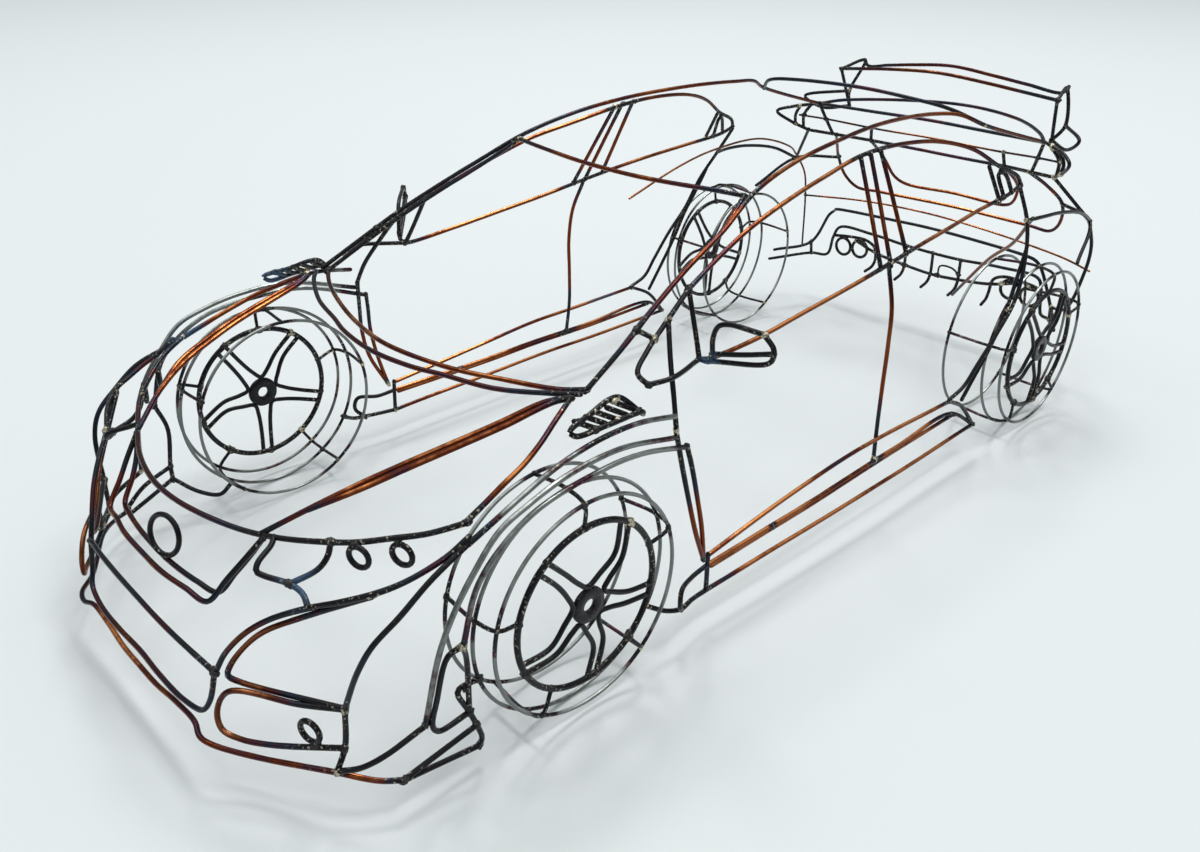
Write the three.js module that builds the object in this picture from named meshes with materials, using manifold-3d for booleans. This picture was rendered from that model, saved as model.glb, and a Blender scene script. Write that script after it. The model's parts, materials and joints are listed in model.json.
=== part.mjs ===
// A model car drawn in the air with brazed welding rod: every line of the body is one bent rod,
// and every tyre is a cage of three hoops round a rim with five looped spokes.
// Millimetres, +X to the nose, +Y to the left side of the car, +Z up.
import * as THREE from 'three';
import { mergeVertices } from 'three/addons/utils/BufferGeometryUtils.js';
import Module from 'manifold-3d';

const wasm = await Module();
wasm.setup();

// Driving dimensions of the body
const WHEELBASE = 259.4;
const FRONT_OVERHANG = 91;
const REAR_OVERHANG = 90;
const BODY_WIDTH = 190;
const ROOF_HEIGHT = 130;

// Rods
const BODY_ROD = 1.6;
const HOOP_ROD = 1.2;
const RIM_ROD = 1.9;
const THIN_ROD = 1.0;
const ROD_SIDES = 3;
const JOINT_GAP = 0.3;
const BEND_TOLERANCE = 0.7;
const SAMPLES_PER_STRETCH = 8;

// Wheels
const TYRE_RADIUS = 34.8;
const OUTER_HOOP_RADIUS = 32.9;
const INNER_HOOP_RADIUS = 33.7;
const RIM_RADIUS = 25.1;
const RIM_FROM_CENTRE = 0.4816 * BODY_WIDTH;
const OUTER_HOOP_FROM_CENTRE = 0.4847 * BODY_WIDTH;
const MIDDLE_HOOP_FROM_CENTRE = 0.4495 * BODY_WIDTH;
const INNER_HOOP_FROM_CENTRE = 0.379 * BODY_WIDTH;
const REAR_INNER_HOOP_FROM_CENTRE = 0.352 * BODY_WIDTH;
const HUB_RADIUS = 5.6;
const HUB_HOLE_RADIUS = 2.0;
const HUB_THICKNESS = 1.6;
const SPOKE_COUNT = 5;
const SPOKE_PAIR_SPACING = 3.6;
const SPOKE_BULGES = { left: [0.5, 3.5, 1, -3, -3.5], right: [0, -1.5, 0, 0, 2.5] };
const TREAD_BAR_COUNT = 5;
const WHEEL_TURN = { left: 15, right: 22 };
const HOOP_SEGMENTS = 14;
const HUB_SEGMENTS = 10;
const SMALL_RING_SEGMENTS = 8;

// Small rings
const LAMP_RING_RADIUS = 3.0;
const FOG_RING_RADIUS = 3.2;
const GRILLE_RING_RADIUS = 5.8;
const EXHAUST_RING_RADIUS = 4.6;

const FACE_SHARE = Math.sqrt(Math.PI) / 2;
const HUB_HEIGHT = TYRE_RADIUS + FACE_SHARE * HOOP_ROD / 2;
const HALF_WHEELBASE = WHEELBASE / 2;
const HALF_WIDTH = BODY_WIDTH / 2;
const ROUTE_LIFT = 1.9;

// A route point holds three shares: how far along (1 and -1 are the axles, and what is past an
// axle is a share of that overhang), how far from the centre line, and how high below the roof.
function at([along, across, up]) {
  const past = Math.max(Math.abs(along) - 1, 0);
  const overhang = along > 0 ? FRONT_OVERHANG : REAR_OVERHANG;
  const between = Math.min(Math.abs(along), 1) * HALF_WHEELBASE;
  const x = Math.sign(along) * (between + past * overhang);
  return new THREE.Vector3(x, across * HALF_WIDTH, up * ROOF_HEIGHT + ROUTE_LIFT);
}

const flipped = (route) => route.map(([along, across, up]) => [along, -across, up]);
const onSide = (route, side) => (side > 0 ? route : flipped(route));

// A half route runs from the left to the centre line; its mirror image finishes the rod.
function throughCentre(halfRoute) {
  return [...halfRoute, ...flipped(halfRoute).reverse().slice(1)];
}

function loopHalves(route) {
  const middle = Math.floor(route.length / 2);
  return [route.slice(0, middle + 1), [...route.slice(middle), route[0]]];
}

// The bent rod is a smooth curve through its route. Of many samples along it, only those stay
// that bow out from the line between their neighbours by more than the bend tolerance.
class BentRod extends THREE.Curve {
  constructor(points) {
    super();
    this.smooth = new THREE.CatmullRomCurve3(points, false, 'centripetal');
    const count = (points.length - 1) * SAMPLES_PER_STRETCH;
    this.samples = Array.from({ length: count + 1 }, (_, i) => this.smooth.getPoint(i / count));
    this.kept = [0, ...this.bends(0, count), count];
  }

  bends(first, last) {
    const chord = new THREE.Line3(this.samples[first], this.samples[last]);
    const foot = new THREE.Vector3();
    let widest = 0;
    let place = first;
    for (let i = first + 1; i < last; i += 1) {
      const bow = this.samples[i].distanceTo(chord.closestPointToPoint(this.samples[i], true, foot));
      if (bow > widest) {
        widest = bow;
        place = i;
      }
    }
    return widest > BEND_TOLERANCE ? [...this.bends(first, place), place, ...this.bends(place, last)]
      : [];
  }

  get count() {
    return this.kept.length - 1;
  }

  getPointAt(share) {
    return this.samples[this.kept[Math.round(share * this.count)]];
  }

  getTangentAt(share) {
    const place = Math.round(share * this.count);
    const before = this.samples[this.kept[Math.max(place - 1, 0)]];
    const here = this.samples[this.kept[place]];
    const after = this.samples[this.kept[Math.min(place + 1, this.count)]];
    const inward = here.clone().sub(before).normalize();
    const outward = after.clone().sub(here).normalize();
    return inward.add(outward).normalize();
  }
}

function asSolid(geometry) {
  const bare = geometry.clone();
  bare.deleteAttribute('normal');
  bare.deleteAttribute('uv');
  const merged = mergeVertices(bare, 1e-4);
  return new wasm.Manifold(new wasm.Mesh({
    numProp: 3,
    vertProperties: new Float32Array(merged.attributes.position.array),
    triVerts: new Uint32Array(merged.index.array),
  }));
}

function asGeometry(solid) {
  const mesh = solid.getMesh();
  const geometry = new THREE.BufferGeometry();
  geometry.setAttribute('position', new THREE.BufferAttribute(mesh.vertProperties, 3));
  geometry.setIndex(new THREE.BufferAttribute(mesh.triVerts, 1));
  return geometry;
}

// A three-sided section with the area of the round rod keeps its weight.
function rodSection(rod, sides) {
  const girth = Math.sqrt(2 * Math.PI / (sides * Math.sin(2 * Math.PI / sides))) * rod / 2;
  const corners = [];
  for (let i = 0; i < sides; i += 1) {
    const angle = (i + 0.5) * 2 * Math.PI / sides;
    corners.push(new THREE.Vector2(girth * Math.cos(angle), girth * Math.sin(angle)));
  }
  return corners;
}

function bentRod(points, rod) {
  const path = new BentRod(points);
  const section = new THREE.Shape(rodSection(rod, ROD_SIDES));
  return asSolid(new THREE.ExtrudeGeometry(section, {
    steps: path.count,
    extrudePath: path,
    bevelEnabled: false,
  }));
}

// A ring of rod: its facets touch the true circle, so that a hoop stands on a flat.
function ringSolid(centre, facing, radius, rod, segments) {
  const halfSide = FACE_SHARE * rod / 2;
  const outward = 1 / Math.cos(Math.PI / segments);
  const inner = (radius - halfSide) * outward;
  const outer = (radius + halfSide) * outward;
  const profile = [[inner, -halfSide], [outer, -halfSide], [outer, halfSide], [inner, halfSide],
    [inner, -halfSide]].map(([r, h]) => new THREE.Vector2(r, h));
  const geometry = new THREE.LatheGeometry(profile, segments, Math.PI / segments);
  geometry.applyQuaternion(new THREE.Quaternion()
    .setFromUnitVectors(new THREE.Vector3(0, 1, 0), facing.clone().normalize()));
  geometry.translate(centre.x, centre.y, centre.z);
  return asSolid(geometry);
}

// Each wire is a route or a ring; fatten adds the clearance that a joint needs.
const wire = (route, rod = BODY_ROD) => (fatten) => bentRod(route.map(at), rod + 2 * fatten);
const ring = (centre, facing, radius, rod = BODY_ROD, segments = SMALL_RING_SEGMENTS) => (fatten) => (
  ringSolid(at(centre), new THREE.Vector3(...facing), radius, rod + 2 * fatten, segments));
const loop = (route, rod = BODY_ROD) => loopHalves(route).map((half) => wire(half, rod));

const joined = (wires, fatten) => wires.map((make) => make(fatten))
  .reduce((whole, piece) => whole.add(piece));

const COPPER = { color: 0xb4592b, roughness: 0.38, metalness: 1 };
const BURNT = { color: 0x2b2528, roughness: 0.5, metalness: 0.9 };
const ZINC = { color: 0x8f938c, roughness: 0.45, metalness: 0.9 };

const pieces = [];
const addPiece = (name, finish, wires) => pieces.push({ name, finish, wires: wires.flat() });

function addPair(name, finish, wiresOf) {
  for (const [word, side] of [['left', 1], ['right', -1]]) {
    addPiece(`${name}_${word}`, finish, wiresOf(side));
  }
}

const sideWires = (side, routes, rod = BODY_ROD) => (
  routes.map((route) => wire(onSide(route, side), rod)));

// Roof, pillars and glass outlines
const ROOF_RAIL = [[0.848, 0.734, 0.648], [0.730, 0.718, 0.705], [0.615, 0.693, 0.762],
  [0.490, 0.665, 0.817], [0.352, 0.642, 0.870], [0.204, 0.600, 0.931], [0.024, 0.573, 0.972],
  [-0.189, 0.552, 0.994], [-0.445, 0.522, 1.002], [-0.700, 0.516, 0.990], [-0.821, 0.547, 0.975],
  [-0.918, 0.589, 0.937], [-1.440, 0.622, 0.831]];
addPair('roof_rail', COPPER, (side) => sideWires(side, [ROOF_RAIL]));

const SCREEN_BASE = [[0.839, 0.720, 0.640], [0.870, 0.644, 0.632], [0.922, 0.472, 0.630],
  [0.964, 0.265, 0.622], [0.995, 0, 0.625]];
const SCREEN_SIDE = [[0.839, 0.720, 0.640], [0.730, 0.704, 0.694], [0.615, 0.679, 0.751],
  [0.490, 0.651, 0.806], [0.352, 0.628, 0.859], [0.223, 0.581, 0.925]];
const SCREEN_TOP = [[0.223, 0.581, 0.925], [0.247, 0.467, 0.928], [0.268, 0.187, 0.922],
  [0.275, 0, 0.922]];
addPiece('windscreen_frame', COPPER, [
  wire(throughCentre(SCREEN_BASE)),
  wire(throughCentre(SCREEN_TOP)),
  wire(SCREEN_SIDE),
  wire(flipped(SCREEN_SIDE)),
]);

const ROOF_REAR_EDGE = [[-0.918, 0.589, 0.937], [-0.844, 0.474, 0.983], [-0.826, 0.305, 1.0],
  [-0.834, 0, 1.008]];
addPiece('roof_rear_edge', BURNT, [wire(throughCentre(ROOF_REAR_EDGE))]);

const WINDOW_TOP = [[0.510, 0.703, 0.783], [0.391, 0.682, 0.827], [0.266, 0.667, 0.870],
  [0.128, 0.659, 0.906], [-0.038, 0.640, 0.933], [-0.214, 0.627, 0.958], [-0.382, 0.638, 0.964],
  [-0.564, 0.661, 0.948], [-0.710, 0.707, 0.908], [-0.822, 0.749, 0.847], [-0.914, 0.774, 0.805],
  [-0.930, 0.783, 0.778]];
const WINDOW_BELT = [[-0.930, 0.783, 0.778], [-0.866, 0.784, 0.762], [-0.670, 0.789, 0.747],
  [-0.416, 0.806, 0.725], [-0.194, 0.817, 0.700], [0.002, 0.817, 0.678], [0.189, 0.819, 0.660],
  [0.360, 0.819, 0.645], [0.516, 0.806, 0.637], [0.543, 0.798, 0.641]];
const WINDOW_FRONT = [[0.543, 0.798, 0.641], [0.531, 0.766, 0.688], [0.510, 0.703, 0.783]];
const WINDOW_POSTS = [
  [[-0.204, 0.634, 0.958], [-0.148, 0.823, 0.697]],
  [[-0.243, 0.640, 0.962], [-0.196, 0.823, 0.694]],
  [[-0.291, 0.640, 0.962], [-0.274, 0.815, 0.711]],
  [[-0.790, 0.728, 0.849], [-0.789, 0.798, 0.755]],
];
const WINDOW_VENT = [[-0.826, 0.788, 0.759], [-0.822, 0.752, 0.825], [-0.846, 0.762, 0.823],
  [-0.876, 0.787, 0.764]];
addPair('side_window_frame', COPPER, (side) => sideWires(side, [WINDOW_TOP, WINDOW_BELT,
  WINDOW_FRONT, ...WINDOW_POSTS, WINDOW_VENT]));

const QUARTER_LIGHT_TOP = [[0.510, 0.703, 0.783], [0.581, 0.726, 0.747], [0.628, 0.741, 0.723],
  [0.688, 0.764, 0.695], [0.741, 0.796, 0.665], [0.735, 0.832, 0.646]];
const QUARTER_LIGHT_FOOT = [[0.735, 0.832, 0.646], [0.683, 0.860, 0.652], [0.543, 0.798, 0.641]];
const QUARTER_LIGHT_POST = [[0.600, 0.735, 0.738], [0.638, 0.798, 0.661], [0.665, 0.851, 0.594],
  [0.681, 0.884, 0.535]];
const QUARTER_LIGHT_TIE = [[0.678, 0.704, 0.729], [0.655, 0.751, 0.711]];
addPair('quarter_light', BURNT, (side) => sideWires(side, [QUARTER_LIGHT_TOP,
  QUARTER_LIGHT_FOOT, QUARTER_LIGHT_POST, QUARTER_LIGHT_TIE]));

const MIRROR_STALK = [[0.543, 0.798, 0.641], [0.540, 0.842, 0.645], [0.540, 0.845, 0.700],
  [0.540, 0.862, 0.732], [0.540, 0.900, 0.746], [0.540, 1.035, 0.752]];
const MIRROR_EDGE = [[0.540, 1.035, 0.752], [0.540, 1.073, 0.728], [0.540, 1.074, 0.706],
  [0.540, 1.055, 0.689], [0.540, 0.842, 0.645]];
const MIRROR_INNER = [[0.540, 0.842, 0.663], [0.540, 0.960, 0.688], [0.540, 1.073, 0.716]];
// The right mirror is bent back from its root, while the left one stands square to the door.
const MIRROR_ROOT = 0.842;
const MIRROR_SWEEP = 0.6;
const sweptBack = (route) => route.map(([along, across, up]) => (
  [along - MIRROR_SWEEP * Math.max(across - MIRROR_ROOT, 0), across, up]));
const MIRROR_RODS = [MIRROR_STALK, MIRROR_EDGE, MIRROR_INNER];
addPair('door_mirror', BURNT, (side) => sideWires(side,
  side > 0 ? MIRROR_RODS : MIRROR_RODS.map(sweptBack)));

// Doors and sills
const DOOR_FRONT_OUTER = [[0.681, 0.884, 0.530], [0.674, 0.907, 0.442], [0.665, 0.928, 0.362],
  [0.643, 0.937, 0.271], [0.594, 0.919, 0.166]];
const DOOR_FRONT_INNER = [[0.652, 0.894, 0.487], [0.645, 0.907, 0.442], [0.636, 0.926, 0.362],
  [0.618, 0.932, 0.271], [0.594, 0.919, 0.166]];
addPair('door_front_lines', COPPER, (side) => sideWires(side, [DOOR_FRONT_OUTER,
  DOOR_FRONT_INNER]));

const DOOR_REAR_LINE = [[-0.190, 0.821, 0.690], [-0.173, 0.867, 0.593], [-0.163, 0.880, 0.489],
  [-0.163, 0.880, 0.376], [-0.163, 0.882, 0.260], [-0.155, 0.893, 0.144]];
addPair('door_rear_line', COPPER, (side) => sideWires(side, [DOOR_REAR_LINE]));

const SILL_TOP = [[0.574, 0.914, 0.166], [0.392, 0.907, 0.184], [0.200, 0.903, 0.202],
  [-0.009, 0.905, 0.217], [-0.247, 0.911, 0.218], [-0.509, 0.922, 0.217]];
const SILL_MIDDLE = [[0.572, 0.914, 0.139], [0.200, 0.909, 0.139], [-0.020, 0.905, 0.143],
  [-0.280, 0.896, 0.143], [-0.569, 0.896, 0.148], [-0.687, 0.924, 0.078]];
const SILL_LOW = [[0.578, 0.918, 0.068], [0.376, 0.924, 0.070], [0.153, 0.928, 0.072],
  [-0.094, 0.931, 0.074], [-0.376, 0.926, 0.073], [-0.687, 0.924, 0.078]];
const SILL_POST = [[0.574, 0.914, 0.170], [0.578, 0.918, 0.068]];
const SILL_UPPER_HOOK = [[0.576, 0.914, 0.139], [0.636, 0.922, 0.135], [0.695, 0.954, 0.138],
  [0.705, 0.962, 0.101], [0.684, 0.939, 0.074]];
const SILL_LOWER_HOOK = [[0.578, 0.918, 0.068], [0.634, 0.926, 0.072], [0.684, 0.939, 0.074],
  [0.726, 0.926, 0.085], [0.772, 0.900, 0.112]];
const SILL_REAR_TIE = [[-0.509, 0.922, 0.217], [-0.600, 0.915, 0.170], [-0.687, 0.924, 0.078]];
addPair('sill', COPPER, (side) => sideWires(side, [SILL_TOP, SILL_MIDDLE, SILL_LOW,
  SILL_POST, SILL_UPPER_HOOK, SILL_LOWER_HOOK, SILL_REAR_TIE]));

// Wings and wheel arches
const WING_LINE = [[1.365, 0.886, 0.497], [1.272, 0.886, 0.521], [1.175, 0.882, 0.544],
  [1.074, 0.880, 0.567], [0.973, 0.878, 0.584], [0.891, 0.882, 0.595], [0.800, 0.890, 0.595],
  [0.695, 0.895, 0.575]];
addPair('wing_line', ZINC, (side) => sideWires(side, [WING_LINE]));

const VENT_OUTLINE = [[0.980, 0.860, 0.630], [0.910, 0.840, 0.640], [0.850, 0.830, 0.650],
  [0.820, 0.832, 0.645], [0.775, 0.865, 0.600], [0.785, 0.876, 0.612], [0.890, 0.872, 0.614],
  [0.965, 0.862, 0.614]];
const VENT_BARS = [0.940, 0.870].map((along) => (
  [[along + 0.002, 0.843, 0.640], [along - 0.039, 0.866, 0.616]]));
addPair('wing_vent', BURNT, (side) => [
  ...loop(onSide(VENT_OUTLINE, side)),
  ...sideWires(side, VENT_BARS),
]);

const ARCH_OUTER = [[1.565, 0.916, 0.160], [1.519, 0.942, 0.328], [1.466, 0.947, 0.404],
  [1.393, 0.947, 0.469], [1.305, 0.947, 0.529], [1.199, 0.945, 0.556], [1.045, 0.937, 0.576],
  [0.887, 0.926, 0.575], [0.689, 0.889, 0.519]];
addPair('front_arch_outer', ZINC, (side) => sideWires(side, [ARCH_OUTER]));

const ARCH_INNER = [[1.452, 0.953, 0.319], [1.384, 0.953, 0.445], [1.204, 0.951, 0.532],
  [0.954, 0.942, 0.554], [0.833, 0.932, 0.544], [0.652, 0.895, 0.485]];
const INTAKE_LOOP = [[1.452, 0.950, 0.319], [1.488, 0.932, 0.300], [1.531, 0.926, 0.205],
  [1.549, 0.924, 0.149], [1.527, 0.922, 0.126], [1.419, 0.918, 0.127]];
const INTAKE_POST = [[1.419, 0.918, 0.127], [1.433, 0.937, 0.281], [1.452, 0.950, 0.319]];
const INTAKE_TAB = [[1.419, 0.918, 0.127], [1.452, 0.914, 0.191], [1.367, 0.895, 0.180]];
const CANARD_RISER = [[1.419, 0.918, 0.127], [1.397, 0.921, 0.082], [1.383, 0.921, 0.045],
  [1.392, 0.919, 0.026]];
const CANARD_UPPER = [[1.650, 0.914, 0.052], [1.398, 0.921, 0.085]];
const CANARD_LOWER = [[1.640, 0.913, 0.049], [1.392, 0.919, 0.026]];
const LEFT_INTAKE = [INTAKE_LOOP, INTAKE_POST, INTAKE_TAB, CANARD_RISER, CANARD_UPPER,
  CANARD_LOWER];
// The right intake is one bent post, with a tie that runs back to the tyre.
const RIGHT_POST = [[1.452, 0.950, 0.319], [1.428, 0.930, 0.250], [1.450, 0.920, 0.140],
  [1.450, 0.920, 0.100]];
const RIGHT_TIE = [[1.450, 0.920, 0.100], [1.385, 0.850, 0.062], [1.320, 0.800, 0.050],
  [1.275, 0.790, 0.075]];
const RIGHT_CANARD_UPPER = [[1.450, 0.920, 0.140], [1.570, 0.918, 0.108], [1.650, 0.914, 0.062]];
const RIGHT_CANARD_LOWER = [[1.450, 0.920, 0.100], [1.640, 0.913, 0.045]];
const RIGHT_INTAKE = [RIGHT_POST, RIGHT_TIE, RIGHT_CANARD_UPPER, RIGHT_CANARD_LOWER];
addPair('front_arch_inner', BURNT, (side) => sideWires(side,
  [ARCH_INNER, ...(side > 0 ? LEFT_INTAKE : RIGHT_INTAKE)]));

const REAR_ARCH_OUTER = [[-0.930, 0.783, 0.770], [-0.910, 0.855, 0.675], [-0.860, 0.907, 0.575],
  [-0.806, 0.931, 0.471], [-0.719, 0.937, 0.384], [-0.635, 0.931, 0.299], [-0.582, 0.926, 0.245],
  [-0.509, 0.922, 0.222]];
const REAR_ARCH_INNER = [[-0.885, 0.890, 0.615], [-0.845, 0.900, 0.545], [-0.790, 0.915, 0.455],
  [-0.735, 0.920, 0.360], [-0.600, 0.915, 0.190]];
addPair('rear_arch', BURNT, (side) => sideWires(side, [REAR_ARCH_OUTER, REAR_ARCH_INNER]));

const SHOULDER = [[-0.914, 0.848, 0.680], [-1.000, 0.866, 0.678], [-1.150, 0.870, 0.670],
  [-1.400, 0.865, 0.635], [-1.588, 0.845, 0.578]];
const TAIL_CORNER_LINE = [[-1.723, 0.647, 0.591], [-1.588, 0.845, 0.578],
  [-1.333, 0.925, 0.483]];
const LAMP_TO_CORNER = [[-1.457, 0.690, 0.721], [-1.588, 0.845, 0.578]];
addPair('rear_shoulder', BURNT, (side) => sideWires(side, [SHOULDER, TAIL_CORNER_LINE,
  LAMP_TO_CORNER]));

// Bonnet
const BONNET_FRONT = [[1.333, 0.847, 0.523], [1.424, 0.796, 0.509], [1.496, 0.731, 0.498],
  [1.565, 0.659, 0.485], [1.627, 0.575, 0.476], [1.681, 0.472, 0.464], [1.731, 0.362, 0.459],
  [1.775, 0.246, 0.463], [1.807, 0.107, 0.466], [1.816, 0, 0.468]];
const LAMP_RINGS = [[1.570, 0.674, 0.458], [1.484, 0.753, 0.465]];
const lampRings = (side) => LAMP_RINGS.map(([along, across, up]) => (
  ring([along, side * across, up], [0.93, side * 0.37, 0], LAMP_RING_RADIUS)));
addPiece('bonnet_front_edge', BURNT, [
  wire(throughCentre(BONNET_FRONT)),
  ...lampRings(1),
  ...lampRings(-1),
]);

const BONNET_REAR = [[0.869, 0.735, 0.643], [0.905, 0.667, 0.640], [0.961, 0.501, 0.628],
  [1.002, 0.303, 0.626], [1.032, 0.198, 0.624], [1.053, 0, 0.622]];
addPiece('bonnet_rear_edge', BURNT, [wire(throughCentre(BONNET_REAR))]);

const BONNET_CREASE = [[1.712, 0.405, 0.462], [1.588, 0.486, 0.513], [1.470, 0.541, 0.548],
  [1.341, 0.583, 0.573], [1.205, 0.621, 0.595], [1.059, 0.653, 0.615], [0.936, 0.686, 0.636],
  [0.893, 0.726, 0.642]];
const BONNET_CREASE_TWIN = [[1.600, 0.480, 0.508], [1.470, 0.566, 0.548], [1.341, 0.610, 0.573],
  [1.205, 0.648, 0.595], [1.059, 0.680, 0.615], [0.926, 0.708, 0.637], [0.898, 0.731, 0.642]];
addPair('bonnet_crease', COPPER, (side) => sideWires(side, [BONNET_CREASE,
  BONNET_CREASE_TWIN]));

const BONNET_SIDE = [[1.332, 0.842, 0.523], [1.260, 0.836, 0.542], [1.187, 0.829, 0.562],
  [1.110, 0.821, 0.581], [1.031, 0.802, 0.602], [0.961, 0.768, 0.622], [0.897, 0.735, 0.643]];
addPair('bonnet_side', COPPER, (side) => sideWires(side, [BONNET_SIDE]));

// Nose
const GRILLE_OUTER = [[1.715, 0.413, 0.452], [1.766, 0.389, 0.412], [1.816, 0.362, 0.370],
  [1.868, 0.337, 0.328], [1.888, 0.240, 0.331], [1.905, 0.135, 0.334], [1.905, 0, 0.330]];
const GRILLE_INNER = [[1.715, 0.413, 0.452], [1.740, 0.380, 0.412], [1.780, 0.348, 0.370],
  [1.826, 0.322, 0.330], [1.848, 0.232, 0.330], [1.861, 0.116, 0.330], [1.864, 0, 0.330]];
addPiece('grille_frame', COPPER, [
  wire(throughCentre(GRILLE_OUTER)),
  wire(throughCentre(GRILLE_INNER)),
  ring([1.852, 0.058, 0.382], [0.93, 0.28, 0.24], GRILLE_RING_RADIUS),
]);

const LOWER_GRILLE_TOP = [[1.926, 0.436, 0.215], [1.938, 0.300, 0.222], [1.944, 0.150, 0.223],
  [1.945, 0, 0.223]];
const LOWER_GRILLE_FOOT = [[1.926, 0.436, 0.215], [1.948, 0.420, 0.145], [1.965, 0.400, 0.118],
  [1.981, 0.300, 0.106], [1.985, 0.150, 0.102], [1.981, 0, 0.100]];
addPiece('lower_grille', BURNT, [
  wire(throughCentre(LOWER_GRILLE_TOP)),
  wire(throughCentre(LOWER_GRILLE_FOOT)),
]);

const FRONT_LIP = [[1.650, 0.916, 0.053], [1.705, 0.879, 0.058], [1.786, 0.787, 0.070],
  [1.905, 0.589, 0.058], [1.985, 0.474, 0.071], [1.997, 0.421, 0.072], [1.985, 0.370, 0.080],
  [1.985, 0.250, 0.075], [1.992, 0.120, 0.065], [1.993, 0, 0.063]];
addPiece('front_lip', COPPER, [wire(throughCentre(FRONT_LIP))]);

const BUMPER_UPPER = [[1.358, 0.886, 0.513], [1.419, 0.877, 0.489], [1.492, 0.865, 0.472],
  [1.558, 0.844, 0.457], [1.618, 0.816, 0.446], [1.684, 0.749, 0.423], [1.732, 0.663, 0.392],
  [1.802, 0.577, 0.357], [1.853, 0.518, 0.318], [1.897, 0.463, 0.262], [1.922, 0.440, 0.219]];
addPair('front_bumper_line', BURNT, (side) => sideWires(side, [BUMPER_UPPER]));

const HEADLAMP_HOOK = [[1.693, 0.445, 0.463], [1.712, 0.462, 0.456], [1.774, 0.495, 0.445], [1.785, 0.505, 0.434],
  [1.771, 0.521, 0.425], [1.732, 0.579, 0.415], [1.720, 0.621, 0.405], [1.730, 0.661, 0.395]];
const HEADLAMP_STEM = [[1.607, 0.600, 0.479], [1.622, 0.600, 0.450], [1.654, 0.595, 0.428],
  [1.732, 0.579, 0.415]];
addPair('headlamp', BURNT, (side) => sideWires(side, [HEADLAMP_HOOK, HEADLAMP_STEM]));

const CORNER_LINE = [[1.737, 0.802, 0.215], [1.716, 0.858, 0.323], [1.679, 0.879, 0.375],
  [1.599, 0.895, 0.420], [1.503, 0.900, 0.466], [1.366, 0.886, 0.498]];
const CORNER_POST = [[1.737, 0.802, 0.215], [1.750, 0.795, 0.119], [1.786, 0.805, 0.082]];
const CORNER_FOOT = [[1.786, 0.805, 0.082], [1.744, 0.853, 0.095], [1.689, 0.895, 0.122],
  [1.570, 0.918, 0.155]];
const CORNER_SWEEP = [[1.623, 0.808, 0.438], [1.750, 0.647, 0.369], [1.816, 0.563, 0.328],
  [1.856, 0.511, 0.285], [1.896, 0.479, 0.237], [1.907, 0.479, 0.218], [1.888, 0.505, 0.206],
  [1.737, 0.802, 0.215]];
const FOG_BOX = [[1.737, 0.800, 0.212], [1.809, 0.689, 0.202], [1.926, 0.511, 0.200],
  [1.957, 0.484, 0.152], [1.958, 0.495, 0.110], [1.934, 0.547, 0.100], [1.882, 0.621, 0.098],
  [1.751, 0.795, 0.119]];
const FOG_RING = [1.805, 0.716, 0.146];
addPair('fog_lamp_corner', BURNT, (side) => [
  ...sideWires(side, [CORNER_LINE, CORNER_POST, CORNER_FOOT, CORNER_SWEEP, FOG_BOX]),
  ring([FOG_RING[0], side * FOG_RING[1], FOG_RING[2]], [0.95, side * 0.30, 0], FOG_RING_RADIUS),
]);

// Tail
const TAIL_TOP = [[-1.440, 0.622, 0.831], [-1.464, 0, 0.835]];
const DUCKTAIL = [[-1.440, 0.622, 0.831], [-1.550, 0.545, 0.842], [-1.782, 0.305, 0.846],
  [-1.889, 0, 0.846]];
const TAIL_THIN = [[-1.428, 0.737, 0.777], [-1.472, 0.592, 0.772], [-1.591, 0.347, 0.751],
  [-1.632, 0, 0.747]];
const TAIL_LOW = [[-1.457, 0.673, 0.721], [-1.505, 0.560, 0.715], [-1.600, 0.380, 0.702],
  [-1.652, 0, 0.693]];
const TAIL_BAR = [[-1.440, 0.622, 0.831], [-1.472, 0.592, 0.772], [-1.505, 0.560, 0.715]];
const TAIL_STUB = [[-1.580, 0.372, 0.753], [-1.600, 0.380, 0.702]];
addPiece('tail_edge', BURNT, [
  wire(throughCentre(TAIL_TOP)),
  wire(throughCentre(DUCKTAIL)),
  wire(throughCentre(TAIL_LOW)),
  wire(throughCentre(TAIL_THIN), THIN_ROD),
  ...[1, -1].flatMap((side) => sideWires(side, [TAIL_BAR, TAIL_STUB])),
]);

const LAMP_LENS = [[-1.440, 0.640, 0.828], [-1.380, 0.740, 0.815], [-1.309, 0.806, 0.797],
  [-1.380, 0.760, 0.755], [-1.457, 0.690, 0.721]];
const LAMP_BARS = [
  [[-1.395, 0.715, 0.818], [-1.400, 0.745, 0.780], [-1.400, 0.742, 0.746]],
  [[-1.425, 0.665, 0.824], [-1.430, 0.710, 0.780], [-1.435, 0.710, 0.731]],
];
addPair('tail_lamp', BURNT, (side) => sideWires(side, [LAMP_LENS, ...LAMP_BARS]));

const TAILGATE_LINE = [[-1.515, 0.545, 0.713], [-1.620, 0.600, 0.660], [-1.723, 0.647, 0.591],
  [-1.786, 0.631, 0.512], [-1.833, 0.571, 0.464], [-1.870, 0.450, 0.458], [-1.881, 0, 0.462]];
addPiece('tailgate_line', COPPER, [wire(throughCentre(TAILGATE_LINE))]);

const PLATE_RECESS = [[-1.600, 0.380, 0.702], [-1.779, 0.386, 0.608], [-1.840, 0.350, 0.540],
  [-1.871, 0.296, 0.514], [-1.885, 0, 0.514]];
addPiece('plate_recess', COPPER, [wire(throughCentre(PLATE_RECESS))]);

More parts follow.
